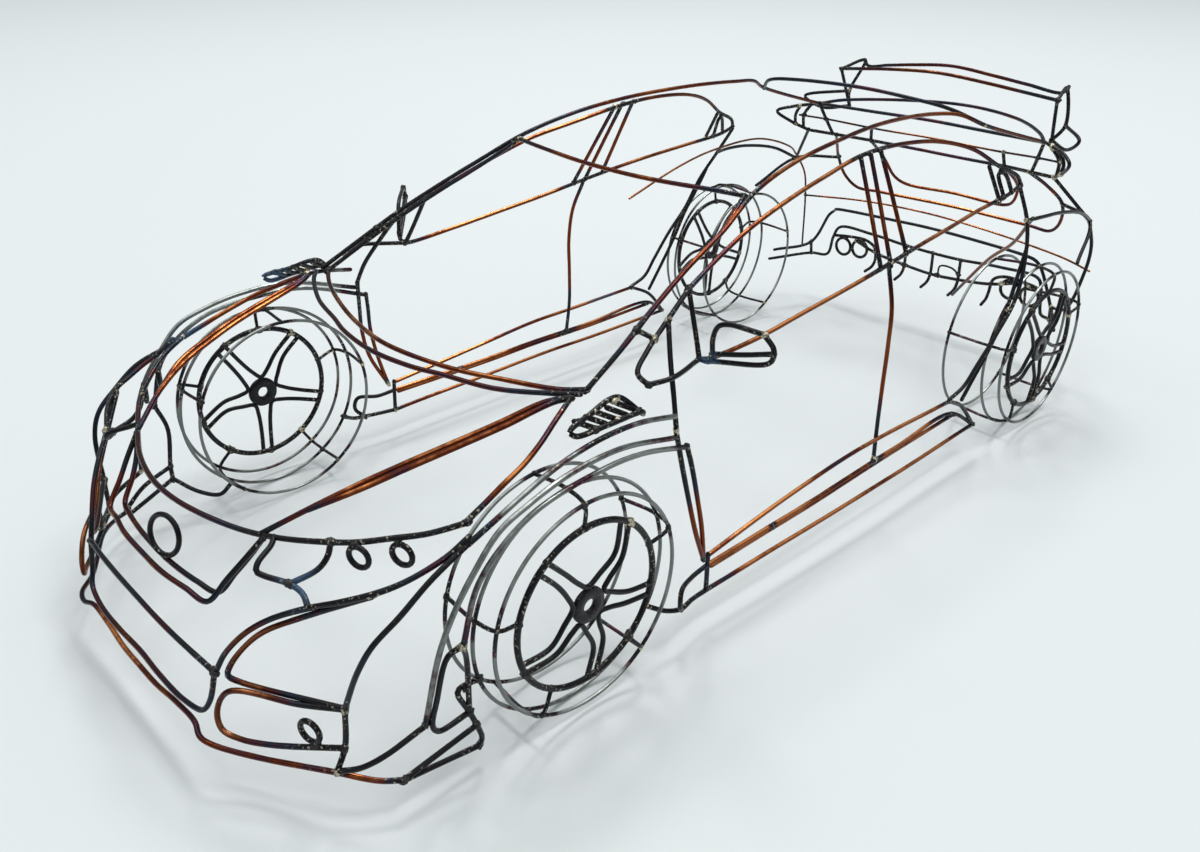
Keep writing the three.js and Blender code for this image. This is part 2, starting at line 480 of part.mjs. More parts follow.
const WING_FRONT = [[-1.568, 0.591, 0.953], [-1.538, 0.427, 0.969], [-1.514, 0.255, 0.984],
  [-1.503, 0, 0.996]];
const WING_REAR = [[-1.738, 0.556, 0.974], [-1.737, 0.537, 0.958], [-1.694, 0.383, 0.975],
  [-1.660, 0.221, 0.993], [-1.648, 0, 1.008]];
const WING_PLATE = [[-1.568, 0.591, 0.953], [-1.738, 0.556, 0.974], [-1.687, 0.602, 0.861],
  [-1.648, 0.567, 0.810]];
const WING_LEG = [[-1.568, 0.591, 0.953], [-1.648, 0.567, 0.810]];
const WING_TIP = [[-1.687, 0.602, 0.861], [-1.492, 0.757, 0.843], [-1.560, 0.680, 0.800],
  [-1.648, 0.567, 0.810]];
addPiece('spoiler_wing', BURNT, [
  wire(throughCentre(WING_FRONT)),
  wire(throughCentre(WING_REAR)),
  ...[1, -1].flatMap((side) => sideWires(side, [WING_PLATE, WING_LEG, WING_TIP])),
]);

const REAR_BUMPER_TOP = [[-1.448, 0.842, 0.205], [-1.652, 0.726, 0.230], [-1.667, 0.632, 0.360],
  [-1.665, 0.600, 0.382], [-1.630, 0.560, 0.399], [-1.680, 0.113, 0.400], [-1.683, 0, 0.400]];
const DIFFUSER_TOP = [[-1.404, 0.842, 0.172], [-1.664, 0.726, 0.179], [-1.723, 0.653, 0.178],
  [-1.735, 0.630, 0.255], [-1.745, 0.600, 0.300], [-1.753, 0.390, 0.304], [-1.753, 0.165, 0.292],
  [-1.753, 0, 0.289]];
const BUMPER_TIE = [[-1.652, 0.726, 0.230], [-1.664, 0.726, 0.179]];
const FIN_PLACES = [-0.165, 0, 0.165];
const diffuserFin = (across) => [[-1.753, across, 0.290], [-1.753, across, 0.200],
  [-1.730, across, 0.176], [-1.670, across, 0.163]];
const EXHAUST_ARCH = [[-1.738, 0.625, 0.262], [-1.753, 0.560, 0.267], [-1.753, 0.420, 0.272],
  [-1.753, 0.362, 0.250], [-1.753, 0.350, 0.200], [-1.730, 0.352, 0.176], [-1.670, 0.358, 0.163]];
const DIFFUSER_TIE = [[-1.753, 0.490, 0.260], [-1.753, 0.350, 0.230], [-1.753, 0.165, 0.212],
  [-1.753, 0, 0.204]];
const TOWING_LOOP = [[-1.753, 0.045, 0.208], [-1.753, 0.052, 0.246], [-1.753, 0.125, 0.250],
  [-1.753, 0.165, 0.232]];
const EXHAUST_PLACES = [[-1.753, 0.567, 0.2215], [-1.753, 0.458, 0.229]];
addPiece('rear_bumper', BURNT, [
  wire(throughCentre(REAR_BUMPER_TOP)),
  wire(throughCentre(DIFFUSER_TOP)),
  wire(throughCentre(DIFFUSER_TIE)),
  wire(TOWING_LOOP, THIN_ROD),
  ...FIN_PLACES.map((across) => wire(diffuserFin(across))),
  ...[1, -1].flatMap((side) => [
    ...sideWires(side, [BUMPER_TIE, EXHAUST_ARCH]),
    ...EXHAUST_PLACES.map(([along, across, up]) => (
      ring([along, side * across, up], [1, 0, 0], EXHAUST_RING_RADIUS))),
  ]),
]);

// The thin wire hangs free on the right and turns down to be the edge of the bumper.
const FREE_WIRE = [[-0.229, -0.568, 0.665], [-0.519, -0.632, 0.715], [-0.747, -0.684, 0.732],
  [-1.077, -0.737, 0.720], [-1.389, -0.758, 0.655], [-1.500, -0.790, 0.612],
  [-1.581, -0.774, 0.531], [-1.621, -0.779, 0.428], [-1.640, -0.779, 0.209]];
const BUMPER_THIN = [[-1.726, 0.845, 0.377], [-1.726, 0.687, 0.404], [-1.726, 0.077, 0.443],
  [-1.726, -0.417, 0.439], [-1.621, -0.779, 0.428]];
addPiece('thin_outline_wire', COPPER, [
  wire(FREE_WIRE, THIN_ROD),
  wire(BUMPER_THIN, THIN_ROD),
]);

// Wheels: the rim with its looped spokes and hub washer, and the cage of hoops round it
function wheelPoint(end, side, fromCentre, radius, angle) {
  return new THREE.Vector3(end * HALF_WHEELBASE + radius * Math.cos(angle), side * fromCentre,
    HUB_HEIGHT + radius * Math.sin(angle));
}

const freeWire = (points, rod) => (fatten) => bentRod(points, rod + 2 * fatten);
const wheelRing = (end, side, fromCentre, radius, rod, segments) => (fatten) => ringSolid(
  wheelPoint(end, side, fromCentre, 0, 0), new THREE.Vector3(0, 1, 0), radius,
  rod + 2 * fatten, segments);

function hubWasher(end, side) {
  return (fatten) => {
    const half = HUB_THICKNESS / 2 + fatten;
    const hole = HUB_HOLE_RADIUS - fatten;
    const rim = HUB_RADIUS + fatten;
    const profile = [[hole, -half], [rim, -half], [rim, half], [hole, half], [hole, -half]]
      .map(([r, h]) => new THREE.Vector2(r, h));
    const centre = wheelPoint(end, side, RIM_FROM_CENTRE, 0, 0);
    return asSolid(new THREE.LatheGeometry(profile, HUB_SEGMENTS).translate(centre.x, centre.y, centre.z));
  };
}

// Each looped wire runs down one spoke, round the washer and up the next spoke. The pairs aren't
// straight: each spoke bulges sideways by its own amount.
function spokeWires(end, side, turn) {
  const pitch = 2 * Math.PI / SPOKE_COUNT;
  const bulges = SPOKE_BULGES[side > 0 ? 'left' : 'right'];
  const wires = [];
  for (let i = 0; i < SPOKE_COUNT; i += 1) {
    const first = (i + 0.5) * pitch + turn;
    const point = (spoke, radius, offset) => {
      return wheelPoint(end, side, RIM_FROM_CENTRE, radius, spoke + Math.asin(offset / radius));
    };
    const half = SPOKE_PAIR_SPACING / 2;
    const down = bulges[i];
    const up = bulges[(i + 1) % SPOKE_COUNT];
    wires.push(freeWire([
      point(first, RIM_RADIUS, half),
      point(first, RIM_RADIUS * 0.62, half * 1.05 + down),
      point(first, HUB_RADIUS * 1.65, half * 1.35 + down * 0.4),
      point(first + pitch / 2, HUB_RADIUS * 1.08, 0),
      point(first + pitch, HUB_RADIUS * 1.65, -half * 1.35 + up * 0.4),
      point(first + pitch, RIM_RADIUS * 0.62, -half * 1.05 + up),
      point(first + pitch, RIM_RADIUS, -half),
    ], BODY_ROD));
  }
  return wires;
}

// The rear tyres are a little wider than the front ones.
const innerHoopFromCentre = (end) => (
  end > 0 ? INNER_HOOP_FROM_CENTRE : REAR_INNER_HOOP_FROM_CENTRE);

function treadBars(end, side, turn) {
  const wires = [];
  for (let i = 0; i < TREAD_BAR_COUNT; i += 1) {
    const angle = i * 2 * Math.PI / TREAD_BAR_COUNT + turn;
    wires.push(freeWire([
      wheelPoint(end, side, RIM_FROM_CENTRE, RIM_RADIUS, angle),
      wheelPoint(end, side, OUTER_HOOP_FROM_CENTRE, OUTER_HOOP_RADIUS, angle),
      wheelPoint(end, side, MIDDLE_HOOP_FROM_CENTRE, TYRE_RADIUS, angle),
      wheelPoint(end, side, innerHoopFromCentre(end), INNER_HOOP_RADIUS, angle),
    ], HOOP_ROD));
  }
  return wires;
}

for (const [place, end] of [['front', 1], ['rear', -1]]) {
  for (const [word, side] of [['left', 1], ['right', -1]]) {
    const turn = THREE.MathUtils.degToRad(WHEEL_TURN[word]);
    addPiece(`${place}_rim_${word}`, BURNT, [
      wheelRing(end, side, RIM_FROM_CENTRE, RIM_RADIUS, RIM_ROD, HOOP_SEGMENTS),
      ...spokeWires(end, side, turn),
      hubWasher(end, side),
    ]);
    addPiece(`${place}_tyre_${word}`, ZINC, [
      wheelRing(end, side, OUTER_HOOP_FROM_CENTRE, OUTER_HOOP_RADIUS, HOOP_ROD, HOOP_SEGMENTS),
      wheelRing(end, side, MIDDLE_HOOP_FROM_CENTRE, TYRE_RADIUS, HOOP_ROD, HOOP_SEGMENTS),
      wheelRing(end, side, innerHoopFromCentre(end), INNER_HOOP_RADIUS, HOOP_ROD, HOOP_SEGMENTS),
      ...treadBars(end, side, turn),
    ]);
  }
}

// A rod that meets one made before it is cut back to its surface, less the joint gap.
const car = new THREE.Group();
const placed = [];
for (const { name, finish, wires } of pieces) {
  let solid = joined(wires, 0);
  for (const other of placed) {
    const near = new THREE.Box3(new THREE.Vector3(...solid.boundingBox().min),
      new THREE.Vector3(...solid.boundingBox().max));
    if (near.intersectsBox(other.box)) {
      solid = solid.subtract(other.fat);
    }
  }
  const parts = solid.decompose().sort((a, b) => b.volume() - a.volume());
  solid = parts[0];
  const fat = joined(wires, JOINT_GAP);
  placed.push({
    fat,
    box: new THREE.Box3(new THREE.Vector3(...fat.boundingBox().min),
      new THREE.Vector3(...fat.boundingBox().max)),
  });
  const material = new THREE.MeshStandardMaterial(finish);
  material.name = `${name}_rod`;
  const mesh = new THREE.Mesh(asGeometry(solid), material);
  mesh.name = name;
  car.add(mesh);
}

// The routes start from the middle of the wheelbase, and the part stands on the middle of its box.
const middle = new THREE.Box3().setFromObject(car).getCenter(new THREE.Vector3());
for (const mesh of car.children) {
  mesh.geometry.translate(-middle.x, -middle.y, 0);
}

export default car;
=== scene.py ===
# %% [markdown]
# # A car drawn in the air with brazed rod
# The real object is a sculpture of a sporty hatchback made of nothing but bent welding rod, about
# 1.6 mm thick. The copper coat is still bright in the middle of the long spans, and it turned brown,
# violet, blue and black where the torch heated it. A small pale bead of braze sits on each joint.
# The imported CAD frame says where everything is, and this script dresses it.

# %% Load the frame
import json
import math

import bmesh
import bpy
import numpy as np
from mathutils import Matrix, Vector, kdtree, noise


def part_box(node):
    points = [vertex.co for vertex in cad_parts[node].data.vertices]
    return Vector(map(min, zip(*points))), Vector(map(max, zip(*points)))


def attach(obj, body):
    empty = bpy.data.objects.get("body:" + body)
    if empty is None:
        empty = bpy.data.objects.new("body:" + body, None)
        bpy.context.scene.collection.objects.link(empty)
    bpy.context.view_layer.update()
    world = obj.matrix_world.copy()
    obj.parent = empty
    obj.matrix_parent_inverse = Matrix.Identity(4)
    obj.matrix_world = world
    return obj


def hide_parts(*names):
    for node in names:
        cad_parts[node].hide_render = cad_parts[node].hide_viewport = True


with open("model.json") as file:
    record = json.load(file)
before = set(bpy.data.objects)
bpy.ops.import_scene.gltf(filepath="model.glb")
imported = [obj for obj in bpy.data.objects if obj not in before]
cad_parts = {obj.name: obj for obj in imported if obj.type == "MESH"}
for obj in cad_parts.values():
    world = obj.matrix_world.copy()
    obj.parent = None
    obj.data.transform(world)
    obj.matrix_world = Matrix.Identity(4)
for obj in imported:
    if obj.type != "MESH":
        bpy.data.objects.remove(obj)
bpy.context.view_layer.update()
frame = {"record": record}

# %% [markdown]
# ## Camera
# The car is seen from above its left front corner. The place and the direction of the camera were
# worked out once from the four wheels and are kept here as plain numbers: a place, a direction and
# a roll angle. The car's nose points along +X, and a wide lens close to the car gives the strong
# perspective.

# %% Camera
AXLES = {end: sum(corner.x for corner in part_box(f"{end}_tyre_left")) / 2 for end in ("front", "rear")}
WHEELBASE_MIDDLE = (AXLES["front"] + AXLES["rear"]) / 2
CAMERA_PLACE = Vector((0.2885 + WHEELBASE_MIDDLE, 0.2625, 0.2113))
CAMERA_DIRECTION = Vector((-0.612026, -0.642640, -0.460910))
CAMERA_ROLL = math.radians(0.296)
LENS_MM = 31.8

camera_data = bpy.data.cameras.new("camera")
camera_data.lens = LENS_MM
camera_data.sensor_width = 36
camera_data.clip_start = 0.01
camera_data.clip_end = 100
camera = bpy.data.objects.new("camera", camera_data)
bpy.context.scene.collection.objects.link(camera)
camera.location = CAMERA_PLACE
camera.rotation_mode = "QUATERNION"
turn = CAMERA_DIRECTION.to_track_quat("-Z", "Y")
camera.rotation_quaternion = turn @ Matrix.Rotation(CAMERA_ROLL, 3, "Z").to_quaternion()
bpy.context.scene.camera = camera
print("camera at", [round(v, 4) for v in CAMERA_PLACE])

# %% [markdown]
# ## Shares of the car
# Every rod is bent by eye along the lines of a real car, so its route is told in thousandths of the
# car: how far along (1000 and -1000 are the axles, and what is past an axle counts in thousandths of
# that overhang), how far out from the centre line, and how high. The solids were placed the same way.

# %% Driving dimensions in millimetres, and the share map
WHEELBASE = 259.4
FRONT_OVERHANG = 91
REAR_OVERHANG = 90
BODY_WIDTH = 190
ROOF_HEIGHT = 130
ROUTE_LIFT = 1.9
BODY_ROD = 1.6
HOOP_ROD = 1.2
RIM_ROD = 1.9
THIN_ROD = 1.0
MM = 0.001
SIDES = {"left": 1, "right": -1}


def at(share):
    """The place in metres of one point of a route."""
    along, across, up = (part / 1000 for part in share)
    past = max(abs(along) - 1, 0)
    overhang = FRONT_OVERHANG if along > 0 else REAR_OVERHANG
    x = math.copysign(min(abs(along), 1) * WHEELBASE / 2 + past * overhang, along)
    y = across * BODY_WIDTH / 2
    return np.array((x * MM + WHEELBASE_MIDDLE, y * MM, (up * ROOF_HEIGHT + ROUTE_LIFT) * MM))


def on_side(route, side):
    return [[along, side * across, up] for along, across, up in route]


def through_centre(half_route):
    """A half route runs from the left to the centre line, and its mirror image finishes it."""
    return half_route + on_side(half_route, -1)[::-1][1:]


print("nose at x =", round(at([1993, 0, 60])[0], 4))

# %% [markdown]
# ## A rod's own line
# A rod that is bent by hand between two joints makes one smooth curve. A centripetal Catmull-Rom
# curve through the route's points does the same, without loops or overshoot. It is then cut into
# even steps, because a tube looks best on even rings. No rod is perfectly fair, so a slow noise
# moves each point a fraction of a millimetre: it depends on the place alone, so that two rods that
# meet still meet.

# %% Smooth lines
STEP = 1.1 * MM
WAVER = 0.28 * MM
WAVER_LENGTH = 38 * MM
WAVER_SEED = 7
noise.seed_set(WAVER_SEED)  # unseeded, the vector noise starts from the clock
CURVE_STEPS = 24


def fair_curve(points, closed=False):
    """Many points on the smooth curve through the given ones."""
    p = np.asarray(points, float)
    if closed:
        p = np.vstack((p[-1], p, p[:2]))
    else:
        p = np.vstack((2 * p[0] - p[1], p, 2 * p[-1] - p[-2]))
    gap = np.sqrt(np.linalg.norm(np.diff(p, axis=0), axis=1))[:, None]
    before, leave, arrive, after = p[:-3], p[1:-2], p[2:-1], p[3:]
    g0, g1, g2 = gap[:-2], gap[1:-1], gap[2:]
    out = ((leave - before) / g0 - (arrive - before) / (g0 + g1) + (arrive - leave) / g1) * g1
    into = ((arrive - leave) / g1 - (after - leave) / (g1 + g2) + (after - arrive) / g2) * g1
    t = (np.arange(CURVE_STEPS) / CURVE_STEPS)[None, :, None]
    a, b, o, i = leave[:, None], arrive[:, None], out[:, None], into[:, None]
    curve = a + o * t + (3 * (b - a) - 2 * o - i) * t ** 2 + (2 * (a - b) + o + i) * t ** 3
    return np.vstack((curve.reshape(-1, 3), p[-2]))


def even_steps(curve, closed=False):
    """The same curve, cut into steps of one length."""
    run = np.concatenate(([0], np.cumsum(np.linalg.norm(np.diff(curve, axis=0), axis=1))))
    count = max(4, math.ceil(run[-1] / STEP))
    places = np.linspace(0, run[-1], count + 1)
    if closed:
        places = places[:-1]
    return np.stack([np.interp(places, run, curve[:, k]) for k in range(3)], axis=1)


def wavered(points):
    moved = [noise.noise_vector(Vector(p) / WAVER_LENGTH) for p in points]
    return points + WAVER * np.array(moved)


print("a straight 100 mm rod has", len(even_steps(fair_curve([(0, 0, 0), (0.1, 0, 0)]))), "points")

# %% [markdown]
# ## The list of rods
# All rods go into one list first, and the tubes are made at the end. That way the joints can be
# found by looking for places where two rods touch. Each rod remembers the CAD node that it
# belongs to, its thickness, and how burnt it is from its first point to its last: 0 is bright
# copper and 1 is black.

# %% Collect rods
RING_POINTS = 10
wires = []


def add_wire(node, points, thickness, burn, closed=False, finish=None):
    line = wavered(even_steps(fair_curve(points, closed), closed))
    share = np.linspace(0, 1, len(line))
    stops = np.linspace(0, 1, len(burn))
    wires.append({"node": node, "line": line, "rod": thickness * MM, "closed": closed,
                  "burn": np.interp(share, stops, burn), "finish": finish})


def rod(node, route, burn, side=1, thickness=BODY_ROD, closed=False, finish=None):
    add_wire(node, [at(p) for p in on_side(route, side)], thickness, burn, closed, finish)


def ring(node, centre, facing, radius, burn=(0.9,)):
    """A small closed ring of rod round a place that is given in shares."""
    normal = Vector(facing).normalized()
    level = normal.orthogonal().normalized()
    upright = normal.cross(level)
    middle = Vector(at(centre))
    points = []
    for k in range(RING_POINTS):
        angle = k * math.tau / RING_POINTS
        points.append(middle + radius * MM * (math.cos(angle) * level + math.sin(angle) * upright))
    add_wire(node, points, BODY_ROD, burn, closed=True)


# %% [markdown]
# ## Roof, pillars and glass outlines
# The roof rails run from the scuttle to the tail in one piece each. The windscreen, the side
# windows and the small quarter lights are outlines that are brazed to them.

# %% Roof rails, windscreen and roof edge
ROOF_RAIL = [[848, 734, 648], [730, 718, 705], [615, 693, 762], [490, 665, 817], [352, 642, 870],
    [204, 600, 931], [24, 573, 972], [-189, 552, 994], [-445, 522, 1002], [-700, 516, 990],
    [-821, 547, 975], [-918, 589, 937], [-1440, 622, 831]]
SCREEN_BASE = [[839, 720, 640], [870, 644, 632], [922, 472, 630], [964, 265, 622], [995, 0, 625]]
SCREEN_SIDE = [[839, 720, 640], [730, 704, 694], [615, 679, 751], [490, 651, 806], [352, 628, 859],
    [223, 581, 925]]
SCREEN_TOP = [[223, 581, 925], [247, 467, 928], [268, 187, 922], [275, 0, 922]]
ROOF_REAR_EDGE = [[-918, 589, 937], [-844, 474, 983], [-826, 305, 1000], [-834, 0, 1008]]
RAIL_BURN = {1: (0.9, 0.55, 0.35, 0.3, 0.45, 0.25, 0.3, 0.5, 0.3),
             -1: (0.95, 0.92, 0.85, 0.6, 0.4, 0.3, 0.5, 0.5, 0.3)}
SCREEN_BURN = {1: (0.85, 0.5, 0.4, 0.45), -1: (0.95, 0.9, 0.75, 0.5)}
for word, side in SIDES.items():
    rod(f"roof_rail_{word}", ROOF_RAIL, RAIL_BURN[side], side)
    rod("windscreen_frame", SCREEN_SIDE, SCREEN_BURN[side], side)
rod("windscreen_frame", through_centre(SCREEN_BASE), (0.55, 0.35, 0.4, 0.3, 0.6))
rod("windscreen_frame", through_centre(SCREEN_TOP), (0.7, 0.5, 0.3, 0.45, 0.7))
rod("roof_rear_edge", through_centre(ROOF_REAR_EDGE), (0.8, 0.7, 0.8))
print(len(wires), "rods")

# %% Side windows and quarter lights
WINDOW_TOP = [[510, 703, 783], [391, 682, 827], [266, 667, 870], [128, 659, 906], [-38, 640, 933],
    [-214, 627, 958], [-382, 638, 964], [-564, 661, 948], [-710, 707, 908], [-822, 749, 847],
    [-914, 774, 805], [-930, 783, 778]]
WINDOW_BELT = [[-930, 783, 778], [-866, 784, 762], [-670, 789, 747], [-416, 806, 725], [-194, 817, 700],
    [2, 817, 678], [189, 819, 660], [360, 819, 645], [516, 806, 637], [543, 798, 641]]
WINDOW_FRONT = [[543, 798, 641], [531, 766, 688], [510, 703, 783]]
WINDOW_POSTS = [
    [[-204, 634, 958], [-148, 823, 697]],
    [[-243, 640, 962], [-196, 823, 694]],
    [[-291, 640, 962], [-274, 815, 711]],
    [[-790, 728, 849], [-789, 798, 755]],
]
WINDOW_VENT = [[-826, 788, 759], [-822, 752, 825], [-846, 762, 823], [-876, 787, 764]]
QUARTER_LIGHT = [
    [[510, 703, 783], [581, 726, 747], [628, 741, 723], [688, 764, 695], [741, 796, 665], [735, 832, 646]],
    [[735, 832, 646], [683, 860, 652], [543, 798, 641]],
    [[600, 735, 738], [638, 798, 661], [665, 851, 594], [681, 884, 535]],
    [[678, 704, 729], [655, 751, 711]],
]
for word, side in SIDES.items():
    node = f"side_window_frame_{word}"
    rod(node, WINDOW_TOP, (0.7, 0.4, 0.25, 0.2, 0.5, 0.3, 0.5, 0.9), side)
    rod(node, WINDOW_BELT, (0.8, 0.2, 0.25, 0.4, 0.15, 0.1, 0.15, 0.7), side)
    rod(node, WINDOW_FRONT, (0.9,), side)
    for route in WINDOW_POSTS[:3]:
        rod(node, route, (0.7, 0.45, 0.3, 0.6), side)
    rod(node, WINDOW_POSTS[3], (0.9,), side)
    rod(node, WINDOW_VENT, (0.9,), side)
    for route in QUARTER_LIGHT:
        rod(f"quarter_light_{word}", route, (0.92,), side)
print(len(wires), "rods")

# %% [markdown]
# ## Mirrors, doors and sills
# A door mirror is one flat loop on a stalk, and the right one is bent back. Each door shut line is
# a pair of rods at the front and one rod at the rear, and the sills are long near-straight rods,
# brighter than the rest.

# %% Mirrors and doors
MIRROR_STALK = [[543, 798, 641], [540, 842, 645], [540, 845, 700], [540, 862, 732], [540, 900, 746],
    [540, 1035, 752]]
MIRROR_EDGE = [[540, 1035, 752], [540, 1073, 728], [540, 1074, 706], [540, 1055, 689], [540, 842, 645]]
MIRROR_INNER = [[540, 842, 663], [540, 960, 688], [540, 1073, 716]]
DOOR_FRONT_OUTER = [[681, 884, 530], [674, 907, 442], [665, 928, 362], [643, 937, 271], [594, 919, 166]]
DOOR_FRONT_INNER = [[652, 894, 487], [645, 907, 442], [636, 926, 362], [618, 932, 271], [594, 919, 166]]
DOOR_REAR_LINE = [[-190, 821, 690], [-173, 867, 593], [-163, 880, 489], [-163, 880, 376], [-163, 882, 260],
    [-155, 893, 144]]
MIRROR_ROOT = 842
MIRROR_SWEEP = 0.6


def swept_back(route):
    return [[along - MIRROR_SWEEP * max(across - MIRROR_ROOT, 0), across, up]
            for along, across, up in route]


for word, side in SIDES.items():
    for route in (MIRROR_STALK, MIRROR_EDGE, MIRROR_INNER):
        rod(f"door_mirror_{word}", route if side > 0 else swept_back(route), (0.95,), side)
    rod(f"door_front_lines_{word}", DOOR_FRONT_OUTER, (0.95, 0.8, 0.45, 0.3, 0.5), side)
    rod(f"door_front_lines_{word}", DOOR_FRONT_INNER, (0.95, 0.7, 0.2, 0.15, 0.4), side)
    rod(f"door_rear_line_{word}", DOOR_REAR_LINE, (0.8, 0.25, 0.15, 0.3, 0.7, 0.9), side)
print(len(wires), "rods")

# %% Sills
SILL_TOP = [[574, 914, 166], [392, 907, 184], [200, 903, 202], [-9, 905, 217], [-247, 911, 218],
    [-509, 922, 217]]
SILL_MIDDLE = [[572, 914, 139], [200, 909, 139], [-20, 905, 143], [-280, 896, 143], [-569, 896, 148],
    [-687, 924, 78]]
SILL_LOW = [[578, 918, 68], [376, 924, 70], [153, 928, 72], [-94, 931, 74], [-376, 926, 73],
    [-687, 924, 78]]
SILL_POST = [[574, 914, 170], [578, 918, 68]]
SILL_UPPER_HOOK = [[576, 914, 139], [636, 922, 135], [695, 954, 138], [705, 962, 101], [684, 939, 74]]
SILL_LOWER_HOOK = [[578, 918, 68], [634, 926, 72], [684, 939, 74], [726, 926, 85], [772, 900, 112]]
SILL_REAR_TIE = [[-509, 922, 217], [-600, 915, 170], [-687, 924, 78]]
SILL_TWIN = [[along - 12, across, up - 9.5] for along, across, up in SILL_MIDDLE[:5]]
for word, side in SIDES.items():
    node = f"sill_{word}"
    rod(node, SILL_TOP, (0.3, 0.1, 0.15, 0.6, 0.2, 0.1, 0.5), side)
    rod(node, SILL_MIDDLE, (0.2, 0.1, 0.1, 0.5, 0.15, 0.1, 0.6, 0.8), side)
    rod(node, SILL_TWIN, (0.2, 0.1, 0.2, 0.5, 0.2, 0.2, 0.6), side)
    rod(node, SILL_LOW, (0.6, 0.25, 0.15, 0.1, 0.35, 0.2, 0.1, 0.7), side)
    for route in (SILL_POST, SILL_UPPER_HOOK, SILL_LOWER_HOOK, SILL_REAR_TIE):
        rod(node, route, (0.85,), side)
print(len(wires), "rods")

# %% [markdown]
# ## Wings and wheel arches
# The wing line and the outer front arch are bare zinc-coated wire, and so are the tyre hoops. The
# inner arch carries the side intake and two small canards in front of the wheel. A vent with five
# slanting bars lies on top of each wing.

# %% Front wings and vents
WING_LINE = [[1365, 886, 497], [1272, 886, 521], [1175, 882, 544], [1074, 880, 567], [973, 878, 584],
    [891, 882, 595], [800, 890, 595], [695, 895, 575]]
VENT_OUTLINE = [[980, 860, 630], [910, 840, 640], [850, 830, 650], [820, 832, 645], [775, 865, 600],
    [785, 876, 612], [890, 872, 614], [965, 862, 614]]
VENT_BAR_PLACES = (955, 925, 895, 865, 835)
for word, side in SIDES.items():
    rod(f"wing_line_{word}", WING_LINE, (0.25, 0.2, 0.3, 0.25, 0.35), side)
    rod(f"wing_vent_{word}", VENT_OUTLINE, (0.92,), side, closed=True)
    for along in VENT_BAR_PLACES:
        rod(f"wing_vent_{word}", [[along + 2, 843, 640], [along - 39, 866, 616]], (0.92,), side)
print(len(wires), "rods")

# %% Wheel arches
ARCH_OUTER = [[1565, 916, 160], [1519, 942, 328], [1466, 947, 404], [1393, 947, 469], [1305, 947, 529],
    [1199, 945, 556], [1045, 937, 576], [887, 926, 575], [689, 889, 519]]
ARCH_INNER = [[1452, 953, 319], [1384, 953, 445], [1204, 951, 532], [954, 942, 554], [833, 932, 544],
    [652, 895, 485]]
INTAKE_LOOP = [[1452, 950, 319], [1488, 932, 300], [1531, 926, 205], [1549, 924, 149], [1527, 922, 126],
    [1419, 918, 127]]
INTAKE_POST = [[1419, 918, 127], [1433, 937, 281], [1452, 950, 319]]
INTAKE_TAB = [[1419, 918, 127], [1452, 914, 191], [1367, 895, 180]]
CANARD_RISER = [[1419, 918, 127], [1397, 921, 82], [1383, 921, 45], [1392, 919, 26]]
CANARD_UPPER = [[1650, 914, 52], [1398, 921, 85]]
CANARD_LOWER = [[1640, 913, 49], [1392, 919, 26]]
RIGHT_POST = [[1452, 950, 319], [1428, 930, 250], [1450, 920, 140], [1450, 920, 100]]
RIGHT_TIE = [[1450, 920, 100], [1385, 850, 62], [1320, 800, 50], [1275, 790, 75]]
RIGHT_CANARD_UPPER = [[1450, 920, 140], [1570, 918, 108], [1650, 914, 62]]
RIGHT_CANARD_LOWER = [[1450, 920, 100], [1640, 913, 45]]
REAR_ARCH_OUTER = [[-930, 783, 770], [-910, 855, 675], [-860, 907, 575], [-806, 931, 471], [-719, 937, 384],
    [-635, 931, 299], [-582, 926, 245], [-509, 922, 222]]
REAR_ARCH_INNER = [[-885, 890, 615], [-845, 900, 545], [-790, 915, 455], [-735, 920, 360], [-600, 915, 190]]
SHOULDER = [[-914, 848, 680], [-1000, 866, 678], [-1150, 870, 670], [-1400, 865, 635], [-1588, 845, 578]]
TAIL_CORNER_LINE = [[-1723, 647, 591], [-1588, 845, 578], [-1333, 925, 483]]
LAMP_TO_CORNER = [[-1457, 690, 721], [-1588, 845, 578]]
LEFT_INTAKE = (INTAKE_LOOP, INTAKE_POST, INTAKE_TAB, CANARD_RISER, CANARD_UPPER, CANARD_LOWER)
RIGHT_INTAKE = (RIGHT_POST, RIGHT_TIE, RIGHT_CANARD_UPPER, RIGHT_CANARD_LOWER)
for word, side in SIDES.items():
    rod(f"front_arch_outer_{word}", ARCH_OUTER, (0.5, 0.35, 0.3, 0.2, 0.25, 0.5), side)
    rod(f"front_arch_inner_{word}", ARCH_INNER, (0.6, 0.45, 0.2, 0.1, 0.3), side, finish="zinc_rod")
    for route in LEFT_INTAKE if side > 0 else RIGHT_INTAKE:
        rod(f"front_arch_inner_{word}", route, (0.85,), side)
    for route in (REAR_ARCH_OUTER, REAR_ARCH_INNER):
        rod(f"rear_arch_{word}", route, (0.9, 0.8, 0.9), side)
    for route in (SHOULDER, TAIL_CORNER_LINE, LAMP_TO_CORNER):
        rod(f"rear_shoulder_{word}", route, (0.9,), side)
print(len(wires), "rods")

# %% [markdown]
# ## Bonnet
# The bonnet is its front and rear edges, a pair of crease rods on each side and a line down each
# side to the wing. Two small rings hang under the front edge on each side, as lamps.

